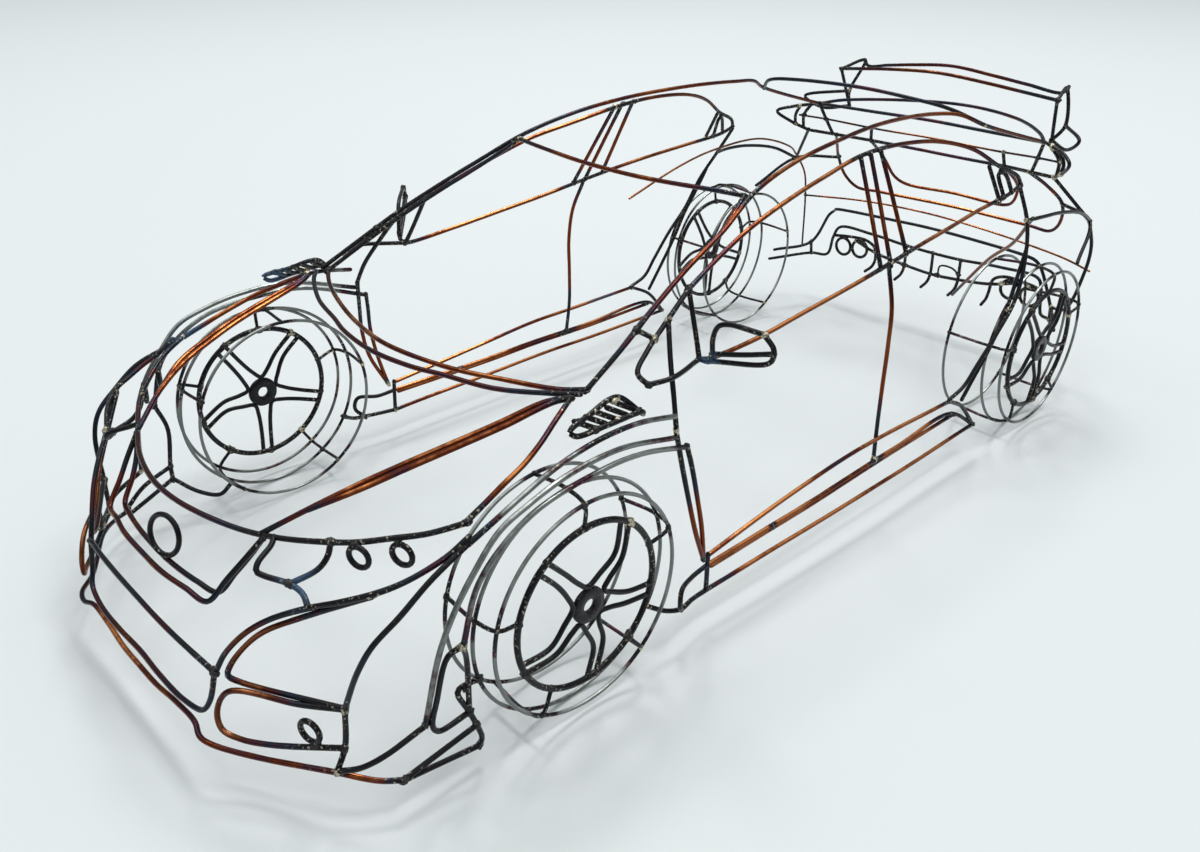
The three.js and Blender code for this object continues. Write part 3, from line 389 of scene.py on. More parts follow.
# %% Bonnet
LAMP_RING_RADIUS = 3.0
BONNET_FRONT = [[1333, 847, 523], [1424, 796, 509], [1496, 731, 498], [1565, 659, 485], [1627, 575, 476],
    [1681, 472, 464], [1731, 362, 459], [1775, 246, 463], [1807, 107, 466], [1816, 0, 468]]
LAMP_RINGS = [[1570, 674, 458], [1484, 753, 465]]
BONNET_REAR = [[869, 735, 643], [905, 667, 640], [961, 501, 628], [1002, 303, 626], [1032, 198, 624],
    [1053, 0, 622]]
BONNET_CREASE = [[1712, 405, 462], [1588, 486, 513], [1470, 541, 548], [1341, 583, 573], [1205, 621, 595],
    [1059, 653, 615], [936, 686, 636], [893, 726, 642]]
BONNET_CREASE_TWIN = [[1600, 480, 508], [1470, 566, 548], [1341, 610, 573], [1205, 648, 595],
    [1059, 680, 615], [926, 708, 637], [898, 731, 642]]
BONNET_SIDE = [[1332, 842, 523], [1260, 836, 542], [1187, 829, 562], [1110, 821, 581], [1031, 802, 602],
    [961, 768, 622], [897, 735, 643]]
rod("bonnet_front_edge", through_centre(BONNET_FRONT), (0.9, 0.85, 0.95, 0.62, 0.5, 0.45, 0.5, 0.55, 0.85))
rod("bonnet_rear_edge", through_centre(BONNET_REAR), (0.8, 0.5, 0.55, 0.5, 0.8))
for word, side in SIDES.items():
    for place in on_side(LAMP_RINGS, side):
        ring("bonnet_front_edge", place, (0.93, side * 0.37, 0), LAMP_RING_RADIUS)
    rod(f"bonnet_crease_{word}", BONNET_CREASE, (0.8, 0.35, 0.3, 0.25, 0.3, 0.7), side)
    rod(f"bonnet_crease_{word}", BONNET_CREASE_TWIN, (0.6, 0.25, 0.35, 0.3, 0.35, 0.7), side)
    rod(f"bonnet_side_{word}", BONNET_SIDE, (0.8, 0.4, 0.2, 0.4, 0.5, 0.3), side)
print(len(wires), "rods")

# %% [markdown]
# ## Nose
# The grille is two nested outlines, with a plain ring of rod on its upper half. Under it are the
# lower grille, the lip and, on each side, a lamp hook and a corner with a fog lamp ring.

# %% Grille, lower grille and lip
GRILLE_RING = [1852, 58, 382]
GRILLE_RING_RADIUS = 5.8
FOG_RING_RADIUS = 3.2
GRILLE_OUTER = [[1715, 413, 452], [1766, 389, 412], [1816, 362, 370], [1868, 337, 328], [1888, 240, 331],
    [1905, 135, 334], [1905, 0, 330]]
GRILLE_INNER = [[1715, 413, 452], [1740, 380, 412], [1780, 348, 370], [1826, 322, 330], [1848, 232, 330],
    [1861, 116, 330], [1864, 0, 330]]
LOWER_GRILLE_TOP = [[1926, 436, 215], [1938, 300, 222], [1944, 150, 223], [1945, 0, 223]]
LOWER_GRILLE_FOOT = [[1926, 436, 215], [1948, 420, 145], [1965, 400, 118], [1981, 300, 106],
    [1985, 150, 102], [1981, 0, 100]]
FRONT_LIP = [[1650, 916, 53], [1705, 879, 58], [1786, 787, 70], [1905, 589, 58], [1985, 474, 71],
    [1997, 421, 72], [1985, 370, 80], [1985, 250, 75], [1992, 120, 65], [1993, 0, 63]]
rod("grille_frame", through_centre(GRILLE_OUTER), (0.9, 0.85, 0.5, 0.45, 0.5, 0.45, 0.4, 0.6, 0.9))
rod("grille_frame", through_centre(GRILLE_INNER), (0.9, 0.85, 0.7, 0.5, 0.5, 0.4, 0.6, 0.9))
ring("grille_frame", GRILLE_RING, (0.93, 0.28, 0.24), GRILLE_RING_RADIUS, burn=(0.95,))
rod("lower_grille", through_centre(LOWER_GRILLE_TOP), (0.85, 0.6, 0.75, 0.85))
rod("lower_grille", through_centre(LOWER_GRILLE_FOOT), (0.85, 0.6, 0.5, 0.6, 0.85))
rod("front_lip", through_centre(FRONT_LIP),
    (0.5, 0.3, 0.55, 0.5, 0.6, 0.45, 0.35, 0.4, 0.3, 0.7, 0.5, 0.7, 0.6, 0.9))
print(len(wires), "rods")

# %% Bumper lines, lamps and corners
BUMPER_UPPER = [[1358, 886, 513], [1419, 877, 489], [1492, 865, 472], [1558, 844, 457], [1618, 816, 446],
    [1684, 749, 423], [1732, 663, 392], [1802, 577, 357], [1853, 518, 318], [1897, 463, 262],
    [1922, 440, 219]]
HEADLAMP_HOOK = [[1693, 445, 463], [1712, 462, 456], [1774, 495, 445], [1785, 505, 434], [1771, 521, 425],
    [1732, 579, 415], [1720, 621, 405], [1730, 661, 395]]
HEADLAMP_STEM = [[1607, 600, 479], [1622, 600, 450], [1654, 595, 428], [1732, 579, 415]]
CORNER_LINE = [[1737, 802, 215], [1716, 858, 323], [1679, 879, 375], [1599, 895, 420], [1503, 900, 466],
    [1366, 886, 498]]
CORNER_POST = [[1737, 802, 215], [1750, 795, 119], [1786, 805, 82]]
CORNER_FOOT = [[1786, 805, 82], [1744, 853, 95], [1689, 895, 122], [1570, 918, 155]]
CORNER_SWEEP = [[1623, 808, 438], [1750, 647, 369], [1816, 563, 328], [1856, 511, 285], [1896, 479, 237],
    [1907, 479, 218], [1888, 505, 206], [1737, 802, 215]]
FOG_BOX = [[1737, 800, 212], [1809, 689, 202], [1926, 511, 200], [1957, 484, 152], [1958, 495, 110],
    [1934, 547, 100], [1882, 621, 98], [1751, 795, 119]]
FOG_RING = [1805, 716, 146]
for word, side in SIDES.items():
    rod(f"front_bumper_line_{word}", BUMPER_UPPER, (0.9, 0.45, 0.9, 0.95, 0.75, 0.4, 0.9), side)
    for route in (HEADLAMP_HOOK, HEADLAMP_STEM):
        rod(f"headlamp_{word}", route, (0.95,), side)
    node = f"fog_lamp_corner_{word}"
    rod(node, CORNER_LINE, (0.85, 0.75, 0.8, 0.9), side)
    rod(node, CORNER_POST, (0.95,), side)
    rod(node, CORNER_FOOT, (0.9,), side)
    rod(node, CORNER_SWEEP, (0.95, 0.75, 0.35, 0.1, 0.1, 0.45, 0.85, 0.95), side)
    rod(node, FOG_BOX, (0.95, 0.8, 0.35, 0.15, 0.1, 0.5, 0.85, 0.95), side)
    ring(node, *on_side([FOG_RING], side), (0.95, side * 0.30, 0), FOG_RING_RADIUS)
print(len(wires), "rods")

# %% [markdown]
# ## Tail and rear wing
# The tail has a ducktail, a tailgate with a recess for a plate that is left bare, lamps on both
# corners, and a large wing on two side plates.

# %% Tail edges, tailgate and lamps
TAIL_TOP = [[-1440, 622, 831], [-1464, 0, 835]]
DUCKTAIL = [[-1440, 622, 831], [-1550, 545, 842], [-1782, 305, 846], [-1889, 0, 846]]
TAIL_THIN = [[-1428, 737, 777], [-1472, 592, 772], [-1591, 347, 751], [-1632, 0, 747]]
TAIL_LOW = [[-1457, 673, 721], [-1505, 560, 715], [-1600, 380, 702], [-1652, 0, 693]]
TAIL_BAR = [[-1440, 622, 831], [-1472, 592, 772], [-1505, 560, 715]]
TAIL_STUB = [[-1580, 372, 753], [-1600, 380, 702]]
LAMP_LENS = [[-1440, 640, 828], [-1380, 740, 815], [-1309, 806, 797], [-1380, 760, 755], [-1457, 690, 721]]
LAMP_BARS = [
    [[-1395, 715, 818], [-1400, 745, 780], [-1400, 742, 746]],
    [[-1425, 665, 824], [-1430, 710, 780], [-1435, 710, 731]],
]
TAILGATE_LINE = [[-1515, 545, 713], [-1620, 600, 660], [-1723, 647, 591], [-1786, 631, 512],
    [-1833, 571, 464], [-1870, 450, 458], [-1881, 0, 462]]
PLATE_RECESS = [[-1600, 380, 702], [-1779, 386, 608], [-1840, 350, 540], [-1871, 296, 514], [-1885, 0, 514]]
rod("tail_edge", through_centre(TAIL_TOP), (0.85, 0.6, 0.85))
rod("tail_edge", through_centre(DUCKTAIL), (0.85, 0.6, 0.7, 0.6, 0.85))
rod("tail_edge", through_centre(TAIL_LOW), (0.95, 0.8, 0.6, 0.8, 0.95))
rod("tail_edge", through_centre(TAIL_THIN), (0.7, 0.3, 0.2, 0.3, 0.7), thickness=THIN_ROD)
rod("tailgate_line", through_centre(TAILGATE_LINE), (0.7, 0.3, 0.5, 0.2, 0.15, 0.2, 0.5, 0.3, 0.7))
rod("plate_recess", through_centre(PLATE_RECESS), (0.8, 0.3, 0.4, 0.3, 0.3, 0.4, 0.3, 0.8))
for word, side in SIDES.items():
    for route in (TAIL_BAR, TAIL_STUB):
        rod("tail_edge", route, (0.95,), side)
    for route in (LAMP_LENS, *LAMP_BARS):
        rod(f"tail_lamp_{word}", route, (0.95,), side)
print(len(wires), "rods")

# %% Rear wing
WING_FRONT = [[-1568, 591, 953], [-1538, 427, 969], [-1514, 255, 984], [-1503, 0, 996]]
WING_REAR = [[-1738, 556, 974], [-1737, 537, 958], [-1694, 383, 975], [-1660, 221, 993], [-1648, 0, 1008]]
WING_PLATE = [[-1568, 591, 953], [-1738, 556, 974], [-1687, 602, 861], [-1648, 567, 810]]
WING_LEG = [[-1568, 591, 953], [-1648, 567, 810]]
WING_TIP = [[-1687, 602, 861], [-1492, 757, 843], [-1560, 680, 800], [-1648, 567, 810]]
rod("spoiler_wing", through_centre(WING_FRONT), (0.9, 0.5, 0.35, 0.4, 0.35, 0.5, 0.9))
rod("spoiler_wing", through_centre(WING_REAR), (0.9, 0.6, 0.4, 0.45, 0.4, 0.6, 0.9))
for word, side in SIDES.items():
    for route in (WING_PLATE, WING_LEG, WING_TIP):
        rod("spoiler_wing", route, (0.95,), side)
print(len(wires), "rods")

# %% [markdown]
# ## Rear bumper
# Under the tail are the bumper, a diffuser with upright fins, a pair of exhaust rings on each
# side and a thin towing loop. A thin copper wire hangs free on the right, as the rest of an outline
# that was never finished.

# %% Rear bumper, diffuser and thin wires
EXHAUST_RING_RADIUS = 4.6
REAR_BUMPER_TOP = [[-1448, 842, 205], [-1652, 726, 230], [-1667, 632, 360], [-1665, 600, 382],
    [-1630, 560, 399], [-1680, 113, 400], [-1683, 0, 400]]
DIFFUSER_TOP = [[-1404, 842, 172], [-1664, 726, 179], [-1723, 653, 178], [-1735, 630, 255],
    [-1745, 600, 300], [-1753, 390, 304], [-1753, 165, 292], [-1753, 0, 289]]
BUMPER_TIE = [[-1652, 726, 230], [-1664, 726, 179]]
FIN_PLACES = (-165, 0, 165)
EXHAUST_ARCH = [[-1738, 625, 262], [-1753, 560, 267], [-1753, 420, 272], [-1753, 362, 250],
    [-1753, 350, 200], [-1730, 352, 176], [-1670, 358, 163]]
DIFFUSER_TIE = [[-1753, 490, 260], [-1753, 350, 230], [-1753, 165, 212], [-1753, 0, 204]]
TOWING_LOOP = [[-1753, 45, 208], [-1753, 52, 246], [-1753, 125, 250], [-1753, 165, 232]]
EXHAUST_PLACES = [[-1753, 567, 221.5], [-1753, 458, 229]]
FREE_WIRE = [[-229, -568, 665], [-519, -632, 715], [-747, -684, 732], [-1077, -737, 720],
    [-1389, -758, 655], [-1500, -790, 612], [-1581, -774, 531], [-1621, -779, 428], [-1640, -779, 209]]
BUMPER_THIN = [[-1726, 845, 377], [-1726, 687, 404], [-1726, 77, 443], [-1726, -417, 439],
    [-1621, -779, 428]]
node = "rear_bumper"
for half_route in (REAR_BUMPER_TOP, DIFFUSER_TOP, DIFFUSER_TIE):
    rod(node, through_centre(half_route), (0.9, 0.7, 0.85, 0.7, 0.9))
rod(node, TOWING_LOOP, (0.9,), thickness=THIN_ROD)
for across in FIN_PLACES:
    rod(node, [[-1753, across, 290], [-1753, across, 200], [-1730, across, 176], [-1670, across, 163]],
        (0.95,))
for side in SIDES.values():
    for route in (BUMPER_TIE, EXHAUST_ARCH):
        rod(node, route, (0.95,), side)
    for place in on_side(EXHAUST_PLACES, side):
        ring(node, place, (1, 0, 0), EXHAUST_RING_RADIUS)
rod("thin_outline_wire", FREE_WIRE, (0.15, 0.2, 0.3, 0.4, 0.5), thickness=THIN_ROD)
rod("thin_outline_wire", BUMPER_THIN, (0.4, 0.2, 0.3, 0.3, 0.5), thickness=THIN_ROD)
print(len(wires), "rods")

# %% [markdown]
# ## Wheels
# A wheel is a thick rim ring with five looped spokes and a washer for a hub, inside a cage of
# three zinc-coated hoops that stand for the tyre. Each looped wire runs down one spoke, round the
# washer and up the next one, so every spoke is a pair of rods. Each spoke bulges sideways by a few
# millimetres of its own.

# %% Rims, spokes and tyre hoops
TYRE_RADIUS = 34.8
OUTER_HOOP_RADIUS = 32.9
INNER_HOOP_RADIUS = 33.7
RIM_RADIUS = 25.1
RIM_FROM_CENTRE = 0.4816 * BODY_WIDTH
OUTER_HOOP_FROM_CENTRE = 0.4847 * BODY_WIDTH
MIDDLE_HOOP_FROM_CENTRE = 0.4495 * BODY_WIDTH
INNER_HOOP_FROM_CENTRE = {"front": 0.379 * BODY_WIDTH, "rear": 0.352 * BODY_WIDTH}
HUB_RADIUS = 5.6
HUB_HOLE_RADIUS = 2.0
HUB_THICKNESS = 1.6
SPOKE_COUNT = 5
SPOKE_PAIR_SPACING = 3.6
SPOKE_BULGES = {1: (0.5, 3.5, 1, -3, -3.5), -1: (0, -1.5, 0, 0, 2.5)}
TREAD_BAR_COUNT = 5
WHEEL_TURN = {"left": 15, "right": 22}
HOOP_FOOT = 0.532  # from a solid hoop's line down to its flat foot
HUB_HEIGHT = TYRE_RADIUS + HOOP_FOOT
HOOP_POINTS = 16
SPOKE_BEND_RADIUS = 0.62 * RIM_RADIUS
SPOKE_ROOT_RADIUS = 1.65 * HUB_RADIUS
WASHER_LOOP_RADIUS = 1.08 * HUB_RADIUS
BEND_SPREAD = 1.05
ROOT_SPREAD = 1.35
ROOT_BULGE = 0.4


def wheel_point(end, side, from_centre, radius, angle):
    x = AXLES[end] + radius * MM * math.cos(angle)
    return np.array((x, side * from_centre * MM, (HUB_HEIGHT + radius * math.sin(angle)) * MM))


def hoop(node, end, side, from_centre, radius, thickness, burn):
    points = [wheel_point(end, side, from_centre, radius, k * math.tau / HOOP_POINTS)
              for k in range(HOOP_POINTS)]
    add_wire(node, points, thickness, burn, closed=True)


def spokes(node, end, side, start):
    pitch = math.tau / SPOKE_COUNT
    half = SPOKE_PAIR_SPACING / 2
    for i in range(SPOKE_COUNT):
        first = (i + 0.5) * pitch + start
        second = first + pitch
        down = SPOKE_BULGES[side][i]
        up = SPOKE_BULGES[side][(i + 1) % SPOKE_COUNT]
        stations = ((first, RIM_RADIUS, half),
                    (first, SPOKE_BEND_RADIUS, half * BEND_SPREAD + down),
                    (first, SPOKE_ROOT_RADIUS, half * ROOT_SPREAD + down * ROOT_BULGE),
                    (first + pitch / 2, WASHER_LOOP_RADIUS, 0),
                    (second, SPOKE_ROOT_RADIUS, -half * ROOT_SPREAD + up * ROOT_BULGE),
                    (second, SPOKE_BEND_RADIUS, -half * BEND_SPREAD + up),
                    (second, RIM_RADIUS, -half))
        points = [wheel_point(end, side, RIM_FROM_CENTRE, radius, angle + math.asin(offset / radius))
                  for angle, radius, offset in stations]
        add_wire(node, points, BODY_ROD, (0.95,))


for end in AXLES:
    for word, side in SIDES.items():
        start = math.radians(WHEEL_TURN[word])
        rim, tyre = f"{end}_rim_{word}", f"{end}_tyre_{word}"
        hoops = {(OUTER_HOOP_FROM_CENTRE, OUTER_HOOP_RADIUS): (0.15, 0.3, 0.1, 0.15),
                 (MIDDLE_HOOP_FROM_CENTRE, TYRE_RADIUS): (0.2, 0.1, 0.35, 0.2),
                 (INNER_HOOP_FROM_CENTRE[end], INNER_HOOP_RADIUS): (0.3, 0.15, 0.2, 0.3)}
        hoop(rim, end, side, RIM_FROM_CENTRE, RIM_RADIUS, RIM_ROD, (0.92, 0.85, 0.95, 0.88, 0.92))
        spokes(rim, end, side, start)
        for place, burn in hoops.items():
            hoop(tyre, end, side, *place, HOOP_ROD, burn)
        for i in range(TREAD_BAR_COUNT):
            angle = start + i * math.tau / TREAD_BAR_COUNT
            bar = [wheel_point(end, side, *place, angle)
                   for place in ((RIM_FROM_CENTRE, RIM_RADIUS), *hoops)]
            add_wire(tyre, bar, HOOP_ROD, (0.8, 0.5, 0.6, 0.5))
print(len(wires), "rods,", round(sum(len(w["line"]) for w in wires) * STEP, 1), "m in all")

# %% [markdown]
# ## Rods that only the scene has
# A bent stay runs from the left rear shoulder down into the tail, and one more rod makes the outer
# edge of the rear bumper on the left.

# %% Stay and bumper edge
STAY = [[-950, 850, 680], [-1150, 690, 540], [-1350, 500, 420], [-1560, 300, 260], [-1670, 190, 170]]
BUMPER_EDGE = [[-1588, 845, 578], [-1640, 860, 480], [-1650, 850, 380], [-1640, 800, 240],
    [-1652, 726, 230]]
rod("rear_stay_left", STAY, (0.6, 0.3, 0.2, 0.4, 0.8))
rod("rear_bumper_edge_left", BUMPER_EDGE, (0.95,))
print(len(wires), "rods")

# %% [markdown]
# ## Finding the joints
# Two rods are brazed wherever they touch. A k-d tree of every rod's points finds those places: a
# point that has a point of another rod within a rod's thickness is a contact. Contacts close
# together are one joint, so the closest contact is kept and its neighbours are dropped. Rods that
# lie side by side touch all along, and are only tacked here and there.

# %% Joints
CONTACT = 1.9 * MM
JOINT_SPACING = 5.0 * MM
TACK_SPACING = 34.0 * MM
SIDE_BY_SIDE = 0.97  # the cosine of the angle between the rods
owner = np.concatenate([np.full(len(w["line"]), k) for k, w in enumerate(wires)])
spot = np.vstack([w["line"] for w in wires])
heading = np.vstack([np.gradient(w["line"], axis=0) for w in wires])
heading /= np.linalg.norm(heading, axis=1)[:, None]
touch_tree = kdtree.KDTree(len(spot))
for k, p in enumerate(spot):
    touch_tree.insert(p, k)
touch_tree.balance()
contacts = []
for k, p in enumerate(spot):
    others = [(d, j) for _, j, d in touch_tree.find_range(p, CONTACT) if owner[j] != owner[k]]
    if others:
        d, j = min(others)
        contacts.append((round(d, 6), k, j))
joints = []
middles = []
for d, k, j in sorted(contacts):
    middle = (spot[k] + spot[j]) / 2
    spacing = TACK_SPACING if abs(np.dot(heading[k], heading[j])) > SIDE_BY_SIDE else JOINT_SPACING
    if middles and np.min(np.linalg.norm(np.array(middles) - middle, axis=1)) < spacing:
        continue
    middles.append(middle)
    joints.append({"middle": middle, "along": heading[k], "tack": spacing == TACK_SPACING,
                   "rod": max(wires[owner[k]]["rod"], wires[owner[j]]["rod"])})
joint_places = np.array(middles)

# %% [markdown]
# ## Heat
# The torch blackened every joint and left a fringe of brown, violet and blue beyond it. Each rod
# point gets a heat from 0 to 1: its rod's own burn, raised near the joints. Every joint was held in
# the flame for a different time, so each has its own reach, and a tack between rods that lie side by
# side has a short one. A few places took a clear blue.

# %% Heat of every point
FLAME_REACH = (3.5, 10.0)
TACK_REACH = 0.4
HEAT_FALL = 1.6
PATCH_DEPTH = 0.22
PATCH_LENGTH = 11 * MM
rng = np.random.default_rng(7)
reach = rng.uniform(*FLAME_REACH, len(joints)) * MM
reach *= np.array([TACK_REACH if joint["tack"] else 1.0 for joint in joints])
BLUE_PLACES = (((540, 842, 645), 5), ((1720, 600, 410), 7), ((1300, -880, 520), 9),
               ((960, -860, 620), 8), ((-350, -920, 216), 12))


def heat_of(line, burn):
    gap = np.linalg.norm(line[:, None, :] - joint_places[None, :, :], axis=2)
    torch = np.exp(-(gap / reach[None, :]) ** HEAT_FALL).max(axis=1)
    patch = np.array([noise.noise(Vector(p) / PATCH_LENGTH) for p in line])
    return np.clip(np.maximum(burn + PATCH_DEPTH * patch, torch), 0, 1), torch


def blue_of(line):
    blue = np.zeros(len(line))
    for place, size in BLUE_PLACES:
        blue = np.maximum(blue, np.exp(-(np.linalg.norm(line - at(place), axis=1) / (size * MM)) ** 2))
    return blue


for w in wires:
    w["heat"], w["torch"] = heat_of(w["line"], w["burn"])
    w["blue"] = blue_of(w["line"])
print("mean heat", round(float(np.mean(np.concatenate([w["heat"] for w in wires]))), 2))

# %% [markdown]
# ## Torch colours as a node group
# Copper-coated rod, zinc-coated wire and blackened rod all go through the same colours when they
# are heated. One node group holds them: it takes the clean metal's colour, which the top of the rod
# keeps as a painted highlight, a dark colour that is painted on its underside as painted shade, a
# warm brown, the heat and how near the torch was. It gives back the colour, a char mask and a
# height for the scale on the surface.
# Each material then sets its own values.

# %% Helpers for shader nodes
def add_node(tree, kind, **settings):
    new_node = tree.nodes.new(kind)
    for name, value in settings.items():
        if name.startswith("in_"):
            new_node.inputs[name[3:].replace("_", " ")].default_value = value
        else:
            setattr(new_node, name, value)
    return new_node


def feed(tree, value, socket):
    """Link the value to the socket, or set it there if it is a plain number or colour."""
    if isinstance(value, tuple):
        socket.default_value = (*value, 1)
    elif isinstance(value, float):
        socket.default_value = value
    else:
        tree.links.new(value, socket)


def mix_colour(tree, factor, first, second):
    mix = add_node(tree, "ShaderNodeMix", data_type="RGBA")
    for value, k in ((factor, 0), (first, 6), (second, 7)):
        feed(tree, value, mix.inputs[k])
    return mix.outputs[2]


def combine(tree, operation, *values):
    """One step of arithmetic, as a Math node."""
    step = add_node(tree, "ShaderNodeMath", operation=operation)
    for k, value in enumerate(values):
        feed(tree, value, step.inputs[k])
    return step.outputs[0]


def band(tree, value, low, high, to_low=0.0, to_high=1.0):
    """A smooth rise of a value between two others."""
    rise = add_node(tree, "ShaderNodeMapRange", interpolation_type="SMOOTHSTEP")
    tree.links.new(value, rise.inputs[0])
    for k, number in enumerate((low, high, to_low, to_high)):
        rise.inputs[k + 1].default_value = number
    return rise.outputs[0]


def surface_noise(tree, scale, detail):
    place = tree.nodes.new("ShaderNodeTexCoord")
    grain = add_node(tree, "ShaderNodeTexNoise", in_Scale=scale, in_Detail=detail)
    tree.links.new(place.outputs["Object"], grain.inputs["Vector"])
    return grain.outputs[0]


# %% The torch colours group
# The first band is painted light: by the rod's normal it puts the clean colour on top as a painted highlight
# and the dark colour on the underside as painted shade.
PAINTED_LIGHT_BAND = (-0.10, 0.95)
WARM_BAND = (0.10, 0.42)
VIOLET, VIOLET_BAND = (0.070, 0.024, 0.032), (0.36, 0.56)
BLUE_GREY, BLUE_GREY_BAND = (0.028, 0.036, 0.055), (0.52, 0.70)
SOOT, SOOT_BAND = (0.0045, 0.0042, 0.006), (0.62, 0.86)
FLECK, FLECK_BAND = (0.36, 0.34, 0.27), (0.60, 0.70)
TORCH_BAND = (0.15, 0.9)
MOTTLE_SCALE = 420
GRAIN_SCALE = 1900
FLECK_SCALE = 1150
MOTTLE_DEPTH = 0.42
COLOUR, VALUE = "NodeSocketColor", "NodeSocketFloat"

torch_colours = bpy.data.node_groups.new("torch_colours", "ShaderNodeTree")
for in_out, sockets in (
        ("INPUT", {"Clean": COLOUR, "Painted_shade": COLOUR, "Warm": COLOUR, "Heat": VALUE, "Torch": VALUE}),
        ("OUTPUT", {"Colour": COLOUR, "Char": VALUE, "Scale": VALUE})):
    for name, kind in sockets.items():
        torch_colours.interface.new_socket(name, in_out=in_out, socket_type=kind)


def build_torch_colours(group):
    given = group.nodes.new("NodeGroupInput").outputs
    result = group.nodes.new("NodeGroupOutput").inputs
    mottle = surface_noise(group, MOTTLE_SCALE, detail=4)
    centred = combine(group, "SUBTRACT", given["Heat"], MOTTLE_DEPTH / 2)
    heat = combine(group, "MULTIPLY_ADD", mottle, MOTTLE_DEPTH, centred)
    # Painted highlight and painted shade: the rod's normal sets how far each point is on top, which keeps
    # the clean colour, or on the underside, which takes the dark one.
    facing = add_node(group, "ShaderNodeSeparateXYZ")
    group.links.new(group.nodes.new("ShaderNodeNewGeometry").outputs["Normal"], facing.inputs[0])
    painted_top_light = band(group, facing.outputs["Z"], *PAINTED_LIGHT_BAND)
    colour = mix_colour(group, painted_top_light, given["Painted_shade"], given["Clean"])
    for shade, limits in ((given["Warm"], WARM_BAND), (VIOLET, VIOLET_BAND),
                          (BLUE_GREY, BLUE_GREY_BAND), (SOOT, SOOT_BAND)):
        burnt = band(group, heat, *limits)
        colour = mix_colour(group, burnt, colour, shade)
    flecks = band(group, surface_noise(group, FLECK_SCALE, detail=1), *FLECK_BAND)
    near_joint = combine(group, "MULTIPLY", flecks, band(group, given["Torch"], *TORCH_BAND))
    group.links.new(mix_colour(group, near_joint, colour, FLECK), result["Colour"])
    group.links.new(burnt, result["Char"])
    group.links.new(surface_noise(group, GRAIN_SCALE, detail=3), result["Scale"])


build_torch_colours(torch_colours)
print("group", torch_colours.name, "with", len(torch_colours.nodes), "nodes")

# %% [markdown]
# ## Rod materials
# The Principled shader stays in each material. Clean metal is fully metallic, and soot isn't, so
# the char mask lowers Metallic and raises Roughness. The blue spots are painted last.

# %% Copper, burnt and zinc rod
BLUE_TEMPER = (0.040, 0.085, 0.16)
BLUE_BAND = (0.3, 0.9)
BLUE_STRENGTH = 0.8
SOOT_METALLIC = 0.25
SOOT_ROUGHNESS = 0.30


def new_material(name):
    material = bpy.data.materials.new(name)
    material.use_nodes = True
    return material, material.node_tree, material.node_tree.nodes["Principled BSDF"].inputs


def mark(tree, label):
    """A value that the mesh carries on its points."""
    return add_node(tree, "ShaderNodeAttribute", attribute_name=label).outputs["Fac"]


def add_bump(tree, height, sockets, strength, distance):
    bump = add_node(tree, "ShaderNodeBump", in_Strength=strength, in_Distance=distance)
    tree.links.new(height, bump.inputs["Height"])
    tree.links.new(bump.outputs[0], sockets["Normal"])


def rod_material(name, clean, painted_shade_colour, warm, roughness):
    material, nodes, sockets = new_material(name)
    sockets["Specular IOR Level"].default_value = 0.32
    tint = add_node(nodes, "ShaderNodeGroup", node_tree=torch_colours)
    # The clean colour is the painted highlight on the rod's top, and the dark one is the painted shade on
    # its underside.
    for value, label in ((clean, "Clean"), (painted_shade_colour, "Painted_shade"), (warm, "Warm"),
                         (mark(nodes, "burn"), "Heat"), (mark(nodes, "torch"), "Torch")):
        feed(nodes, value, tint.inputs[label])
    blue = band(nodes, mark(nodes, "blue"), *BLUE_BAND, 0, BLUE_STRENGTH)
    nodes.links.new(mix_colour(nodes, blue, tint.outputs["Colour"], BLUE_TEMPER), sockets["Base Color"])
    char = tint.outputs["Char"]
    nodes.links.new(band(nodes, char, 0, 1, 1, SOOT_METALLIC), sockets["Metallic"])
    nodes.links.new(band(nodes, char, 0, 1, roughness, SOOT_ROUGHNESS), sockets["Roughness"])
    add_bump(nodes, tint.outputs["Scale"], sockets, strength=0.35, distance=0.12 * MM)
    return material


# Each look lists a clean colour that is also the painted highlight on top, a dark painted shade for the
# underside, a warm brown and a roughness.
MATERIALS = {name: rod_material(name, *looks) for name, looks in {
    "copper_rod": ((0.80, 0.30, 0.10), (0.15, 0.030, 0.008), (0.15, 0.034, 0.012), 0.21),
    "burnt_rod": ((0.42, 0.16, 0.07), (0.10, 0.025, 0.010), (0.08, 0.024, 0.012), 0.27),
    "zinc_rod": ((0.62, 0.66, 0.63), (0.16, 0.175, 0.17), (0.20, 0.22, 0.21), 0.32),
}.items()}
print(sorted(MATERIALS))

# %% [markdown]
# ## From lines to tubes
# A curve object with a round bevel would do, but a mesh can carry the heat on its points and swell
# a little at the joints. Rings of points are set square to the line and carried along it without
# twist. Open ends are rounded, as a cut and torched rod end is. Each rod is drawn a little thinner
# than its name, with slow lumps, and swells where the torch was.

# %% Tubes
RING_SIDES = 12
END_SHARES = ((0.95, 0.30), (0.62, 0.78))
DRAWN_DOWN = 0.97
UNEVENNESS = 0.04
JOINT_SWELL = 0.05
LUMP_LENGTH = 5 * MM
LABELS = ("burn", "blue", "torch")
WASHER_BURN = 0.95
EVEN_TORCH = 0.3


def carried_frames(line, closed):
    if closed:
        tangent = np.roll(line, -1, axis=0) - np.roll(line, 1, axis=0)
    else:
        tangent = np.gradient(line, axis=0)
    tangent /= np.linalg.norm(tangent, axis=1)[:, None]
    square = np.array(Vector(tangent[0]).orthogonal().normalized())
    sideways = []
    for t in tangent:
        square = square - np.dot(square, t) * t
        square = square / np.linalg.norm(square)
        sideways.append(square)
    sideways = np.array(sideways)
    return tangent, sideways, np.cross(tangent, sideways)


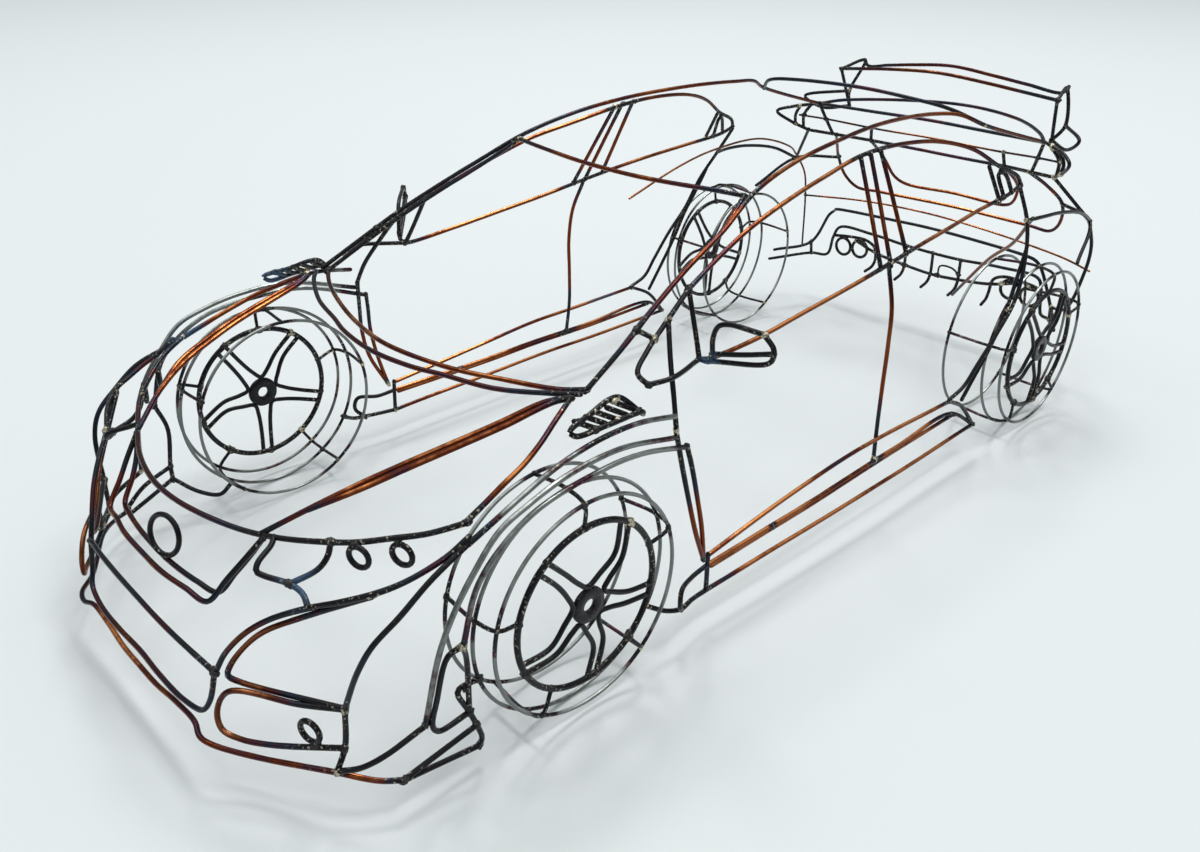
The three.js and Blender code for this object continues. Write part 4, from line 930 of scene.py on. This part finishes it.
def tube(w):
    """Vertices, faces and marks of one rod. The marks say how burnt, blue and near a joint it is."""
    line, closed = w["line"], w["closed"]
    tangent, sideways, upwards = carried_frames(line, closed)
    uneven = np.array([noise.noise(Vector(p) / LUMP_LENGTH) for p in line])
    radius = w["rod"] / 2 * (DRAWN_DOWN + UNEVENNESS * uneven + JOINT_SWELL * w["torch"])
    marks = {"burn": w["heat"], "blue": w["blue"], "torch": w["torch"]}
    if not closed:
        first = [(line[0] - tangent[0] * radius[0] * out, radius[0] * r) for out, r in END_SHARES]
        last = [(line[-1] + tangent[-1] * radius[-1] * out, radius[-1] * r) for out, r in END_SHARES[::-1]]
        line = np.vstack([p for p, _ in first] + [line] + [p for p, _ in last])
        radius = np.concatenate(([r for _, r in first], radius, [r for _, r in last]))
        sideways, upwards = (np.pad(v, ((2, 2), (0, 0)), mode="edge") for v in (sideways, upwards))
        marks = {label: np.pad(values, 2, mode="edge") for label, values in marks.items()}
    angle = np.arange(RING_SIDES) * math.tau / RING_SIDES
    spin = np.cos(angle)[None, :, None] * sideways[:, None] + np.sin(angle)[None, :, None] * upwards[:, None]
    verts = (line[:, None] + radius[:, None, None] * spin).reshape(-1, 3)
    count = len(line)
    rings = np.arange(count if closed else count - 1)[:, None]
    corners = np.arange(RING_SIDES)[None, :]
    here = rings * RING_SIDES + corners
    beside = rings * RING_SIDES + (corners + 1) % RING_SIDES
    onward = ((rings + 1) % count - rings) * RING_SIDES
    faces = np.stack((here, beside, beside + onward, here + onward), axis=2).reshape(-1, 4).tolist()
    if not closed:
        faces.append(list(range(RING_SIDES))[::-1])
        faces.append([(count - 1) * RING_SIDES + k for k in range(RING_SIDES)])
    marks = {label: np.repeat(values, RING_SIDES) for label, values in marks.items()}
    return {"verts": verts, "faces": faces, "marks": marks, "finish": w["finish"]}


def even_marks(count, burn):
    return {"burn": np.full(count, burn), "blue": np.zeros(count), "torch": np.full(count, EVEN_TORCH)}


def washer(end, side):
    """The hub: a flat washer with softened edges."""
    inner, outer, half, soft = HUB_HOLE_RADIUS, HUB_RADIUS, HUB_THICKNESS / 2, 0.3
    profile = ((inner, -half + soft), (inner + soft, -half), (outer - soft, -half), (outer, -half + soft),
               (outer, half - soft), (outer - soft, half), (inner + soft, half), (inner, half - soft))
    turns = 40
    verts = []
    for k in range(turns):
        angle = k * math.tau / turns
        for radius, out in profile:
            verts.append(wheel_point(end, side, RIM_FROM_CENTRE + out, radius, angle))
    size = len(profile)
    faces = []
    for k in range(turns):
        for m in range(size):
            a, b = k * size + m, k * size + (m + 1) % size
            c, d = (k + 1) % turns * size + (m + 1) % size, (k + 1) % turns * size + m
            faces.append([a, b, c, d] if side < 0 else [d, c, b, a])
    marks = even_marks(len(verts), WASHER_BURN)
    return {"verts": np.array(verts), "faces": faces, "marks": marks, "finish": None}


def new_piece(name, parts, material):
    """One mesh object out of several parts. A part with a finish of its own gets that material."""
    verts, faces, slots, base = [], [], [], 0
    finishes = [None, *sorted({part["finish"] for part in parts if part["finish"]})]
    for part in parts:
        verts.append(part["verts"])
        faces.extend([[k + base for k in face] for face in part["faces"]])
        slots.extend([finishes.index(part["finish"])] * len(part["faces"]))
        base += len(part["verts"])
    mesh = bpy.data.meshes.new(name)
    mesh.from_pydata(np.vstack(verts).tolist(), [], faces)
    mesh.polygons.foreach_set("use_smooth", [True] * len(faces))
    for label in LABELS:
        layer = mesh.attributes.new(label, "FLOAT", "POINT")
        values = np.concatenate([part["marks"][label] for part in parts])
        layer.data.foreach_set("value", values.astype(np.float32))
    mesh.materials.append(material)
    for finish in finishes[1:]:
        mesh.materials.append(MATERIALS[finish])
    mesh.polygons.foreach_set("material_index", slots)
    mesh.update()
    piece = bpy.data.objects.new(name, mesh)
    bpy.context.scene.collection.objects.link(piece)
    return piece


# %% Build the pieces and put them in place of the nodes
slot_of = {part["node"]: part["material_slot"] for part in frame["record"]["subparts"]}
SCENE_ONLY = {"rear_stay_left": "copper_rod", "rear_bumper_edge_left": "burnt_rod"}
made = {}
for node in [*slot_of, *SCENE_ONLY]:
    parts = [tube(w) for w in wires if w["node"] == node]
    if "_rim_" in node:
        end, _, word = node.split("_")
        parts.append(washer(end, SIDES[word]))
    slot_name = slot_of.get(node) or SCENE_ONLY[node]
    piece = new_piece(f"{node}_wire", parts, MATERIALS[slot_name])
    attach(piece, "root")
    if node in slot_of:
        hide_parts(node)
    made[node] = len(piece.data.polygons)
print(len(made), "pieces,", sum(made.values()), "faces")

# %% [markdown]
# ## Braze
# Each joint keeps a small uneven bead. The filler is a pale yellow-white metal, spotted with dark
# flux. A bead is a round lump pulled long along the rod, with noise for its surface, and the beads
# of each quarter of the car are one piece.

# %% Braze material
BRASS, BRASS_METALLIC = (0.62, 0.56, 0.40), 0.85
FLUX, FLUX_METALLIC = (0.020, 0.018, 0.018), 0.3
FLUX_BAND = (0.58, 0.82)
SPECK_SCALE = 1500


def braze_material():
    material, nodes, sockets = new_material("braze")
    specks = surface_noise(nodes, SPECK_SCALE, detail=2)
    flux = band(nodes, combine(nodes, "ADD", mark(nodes, "burn"), specks), *FLUX_BAND)
    nodes.links.new(mix_colour(nodes, flux, BRASS, FLUX), sockets["Base Color"])
    nodes.links.new(band(nodes, flux, 0, 1, BRASS_METALLIC, FLUX_METALLIC), sockets["Metallic"])
    sockets["Roughness"].default_value = 0.42
    add_bump(nodes, specks, sockets, strength=0.4, distance=0.15 * MM)
    return material


# %% Braze beads
BEAD_SHARE = 0.62
BEAD_STRETCH = 1.35
BEAD_SIZES = (0.85, 1.2)
BEAD_LENGTHS = (0.8, 1.25)
BEAD_BURNS = (0.0, 0.9)
BUMP_DEPTH = 0.45
BUMP_SCALE = 1.7
BUMP_SHIFT = 3.1  # moves the noise on from bead to bead, so that no two are alike


def bead_shape():
    """A unit lump as vertices and faces, made once."""
    lump = bmesh.new()
    bmesh.ops.create_icosphere(lump, subdivisions=3, radius=1)
    verts = np.array([v.co[:] for v in lump.verts])
    faces = [[v.index for v in face.verts] for face in lump.faces]
    lump.free()
    return verts, faces


BRAZE = braze_material()
unit_verts, unit_faces = bead_shape()
quarters = {}
for k, joint in enumerate(joints):
    along = joint["along"]
    bumpy = np.array([noise.noise(Vector(v * BUMP_SCALE + k * BUMP_SHIFT)) for v in unit_verts])
    size = joint["rod"] * BEAD_SHARE * rng.uniform(*BEAD_SIZES)
    verts = unit_verts * (1 + BUMP_DEPTH * bumpy)[:, None] * size
    verts = verts + np.outer(verts @ along, along) * (BEAD_STRETCH * rng.uniform(*BEAD_LENGTHS) - 1)
    marks = even_marks(len(verts), rng.uniform(*BEAD_BURNS))
    x, y, _ = joint["middle"]
    quarter = f"braze_{'front' if x > WHEELBASE_MIDDLE else 'rear'}_{'left' if y > 0 else 'right'}"
    quarters.setdefault(quarter, []).append(
        {"verts": verts + joint["middle"], "faces": unit_faces, "marks": marks, "finish": None})
for name in sorted(quarters):
    beads = new_piece(name, quarters[name], BRAZE)
    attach(beads, "root")
print({name: len(parts) for name, parts in sorted(quarters.items())})

# %% [markdown]
# ## Floor and light
# The car stands on a plain pale tabletop, lit by three soft lamps and a pale room. All three lamps
# hang high and none is on the camera's side, so their light runs along the tops of the rods as thin
# bright lines and throws soft doubled shadows towards the camera. The room is bright overhead and
# dim near the horizon, so that the flanks stay dark.

# %% Floor
PALE = (0.80, 0.845, 0.86)
FLOOR_DROP = 0.08 * MM
FLOOR_SIZE = 12
bpy.ops.mesh.primitive_plane_add(size=FLOOR_SIZE, location=(0, 0, -FLOOR_DROP))
floor = bpy.context.object
floor.name = "floor"
paint, _, table = new_material("pale_table")
table["Base Color"].default_value = (*PALE, 1)
table["Roughness"].default_value = 0.6
table["Specular IOR Level"].default_value = 0.2
floor.data.materials.append(paint)

# %% Room and lamps
ROOM_LOW = (0.20, 0.205, 0.21)
ROOM_HIGH = (0.90, 0.925, 0.93)
ROOM_RISE = (0.30, 0.85)
world = bpy.data.worlds.new("room")
bpy.context.scene.world = world
world.use_nodes = True
room = world.node_tree
background = room.nodes["Background"]
direction = room.nodes.new("ShaderNodeTexCoord")
split = room.nodes.new("ShaderNodeSeparateXYZ")
room.links.new(direction.outputs["Generated"], split.inputs[0])
glow = mix_colour(room, band(room, split.outputs["Z"], *ROOM_RISE), ROOM_LOW, ROOM_HIGH)
path = room.nodes.new("ShaderNodeLightPath")
shown = mix_colour(room, path.outputs["Is Camera Ray"], glow, PALE)
room.links.new(shown, background.inputs["Color"])
background.inputs["Strength"].default_value = 1.0

LAMP_WHITE = (1.0, 0.985, 0.96)
LAMPS = {
    "back_lamp": (Vector((-0.95, -1.00, 2.1)), 0.50, 13.0),
    "side_lamp": (Vector((0.5, -1.2, 2.1)), 0.45, 3.0),
    "top_lamp": (Vector((-0.8, 0.5, 2.3)), 0.55, 11.0),
}
for name, (place, size, watts) in LAMPS.items():
    lamp_data = bpy.data.lights.new(name, "AREA")
    lamp_data.shape = "DISK"
    lamp_data.size = size
    lamp_data.energy = watts
    lamp_data.color = LAMP_WHITE
    lamp = bpy.data.objects.new(name, lamp_data)
    bpy.context.scene.collection.objects.link(lamp)
    lamp.location = place
    lamp.rotation_euler = (-place).to_track_quat("-Z", "Y").to_euler()
bpy.context.scene.view_settings.view_transform = "Standard"
bpy.context.scene.view_settings.look = "None"
print(len(LAMPS), "lamps")
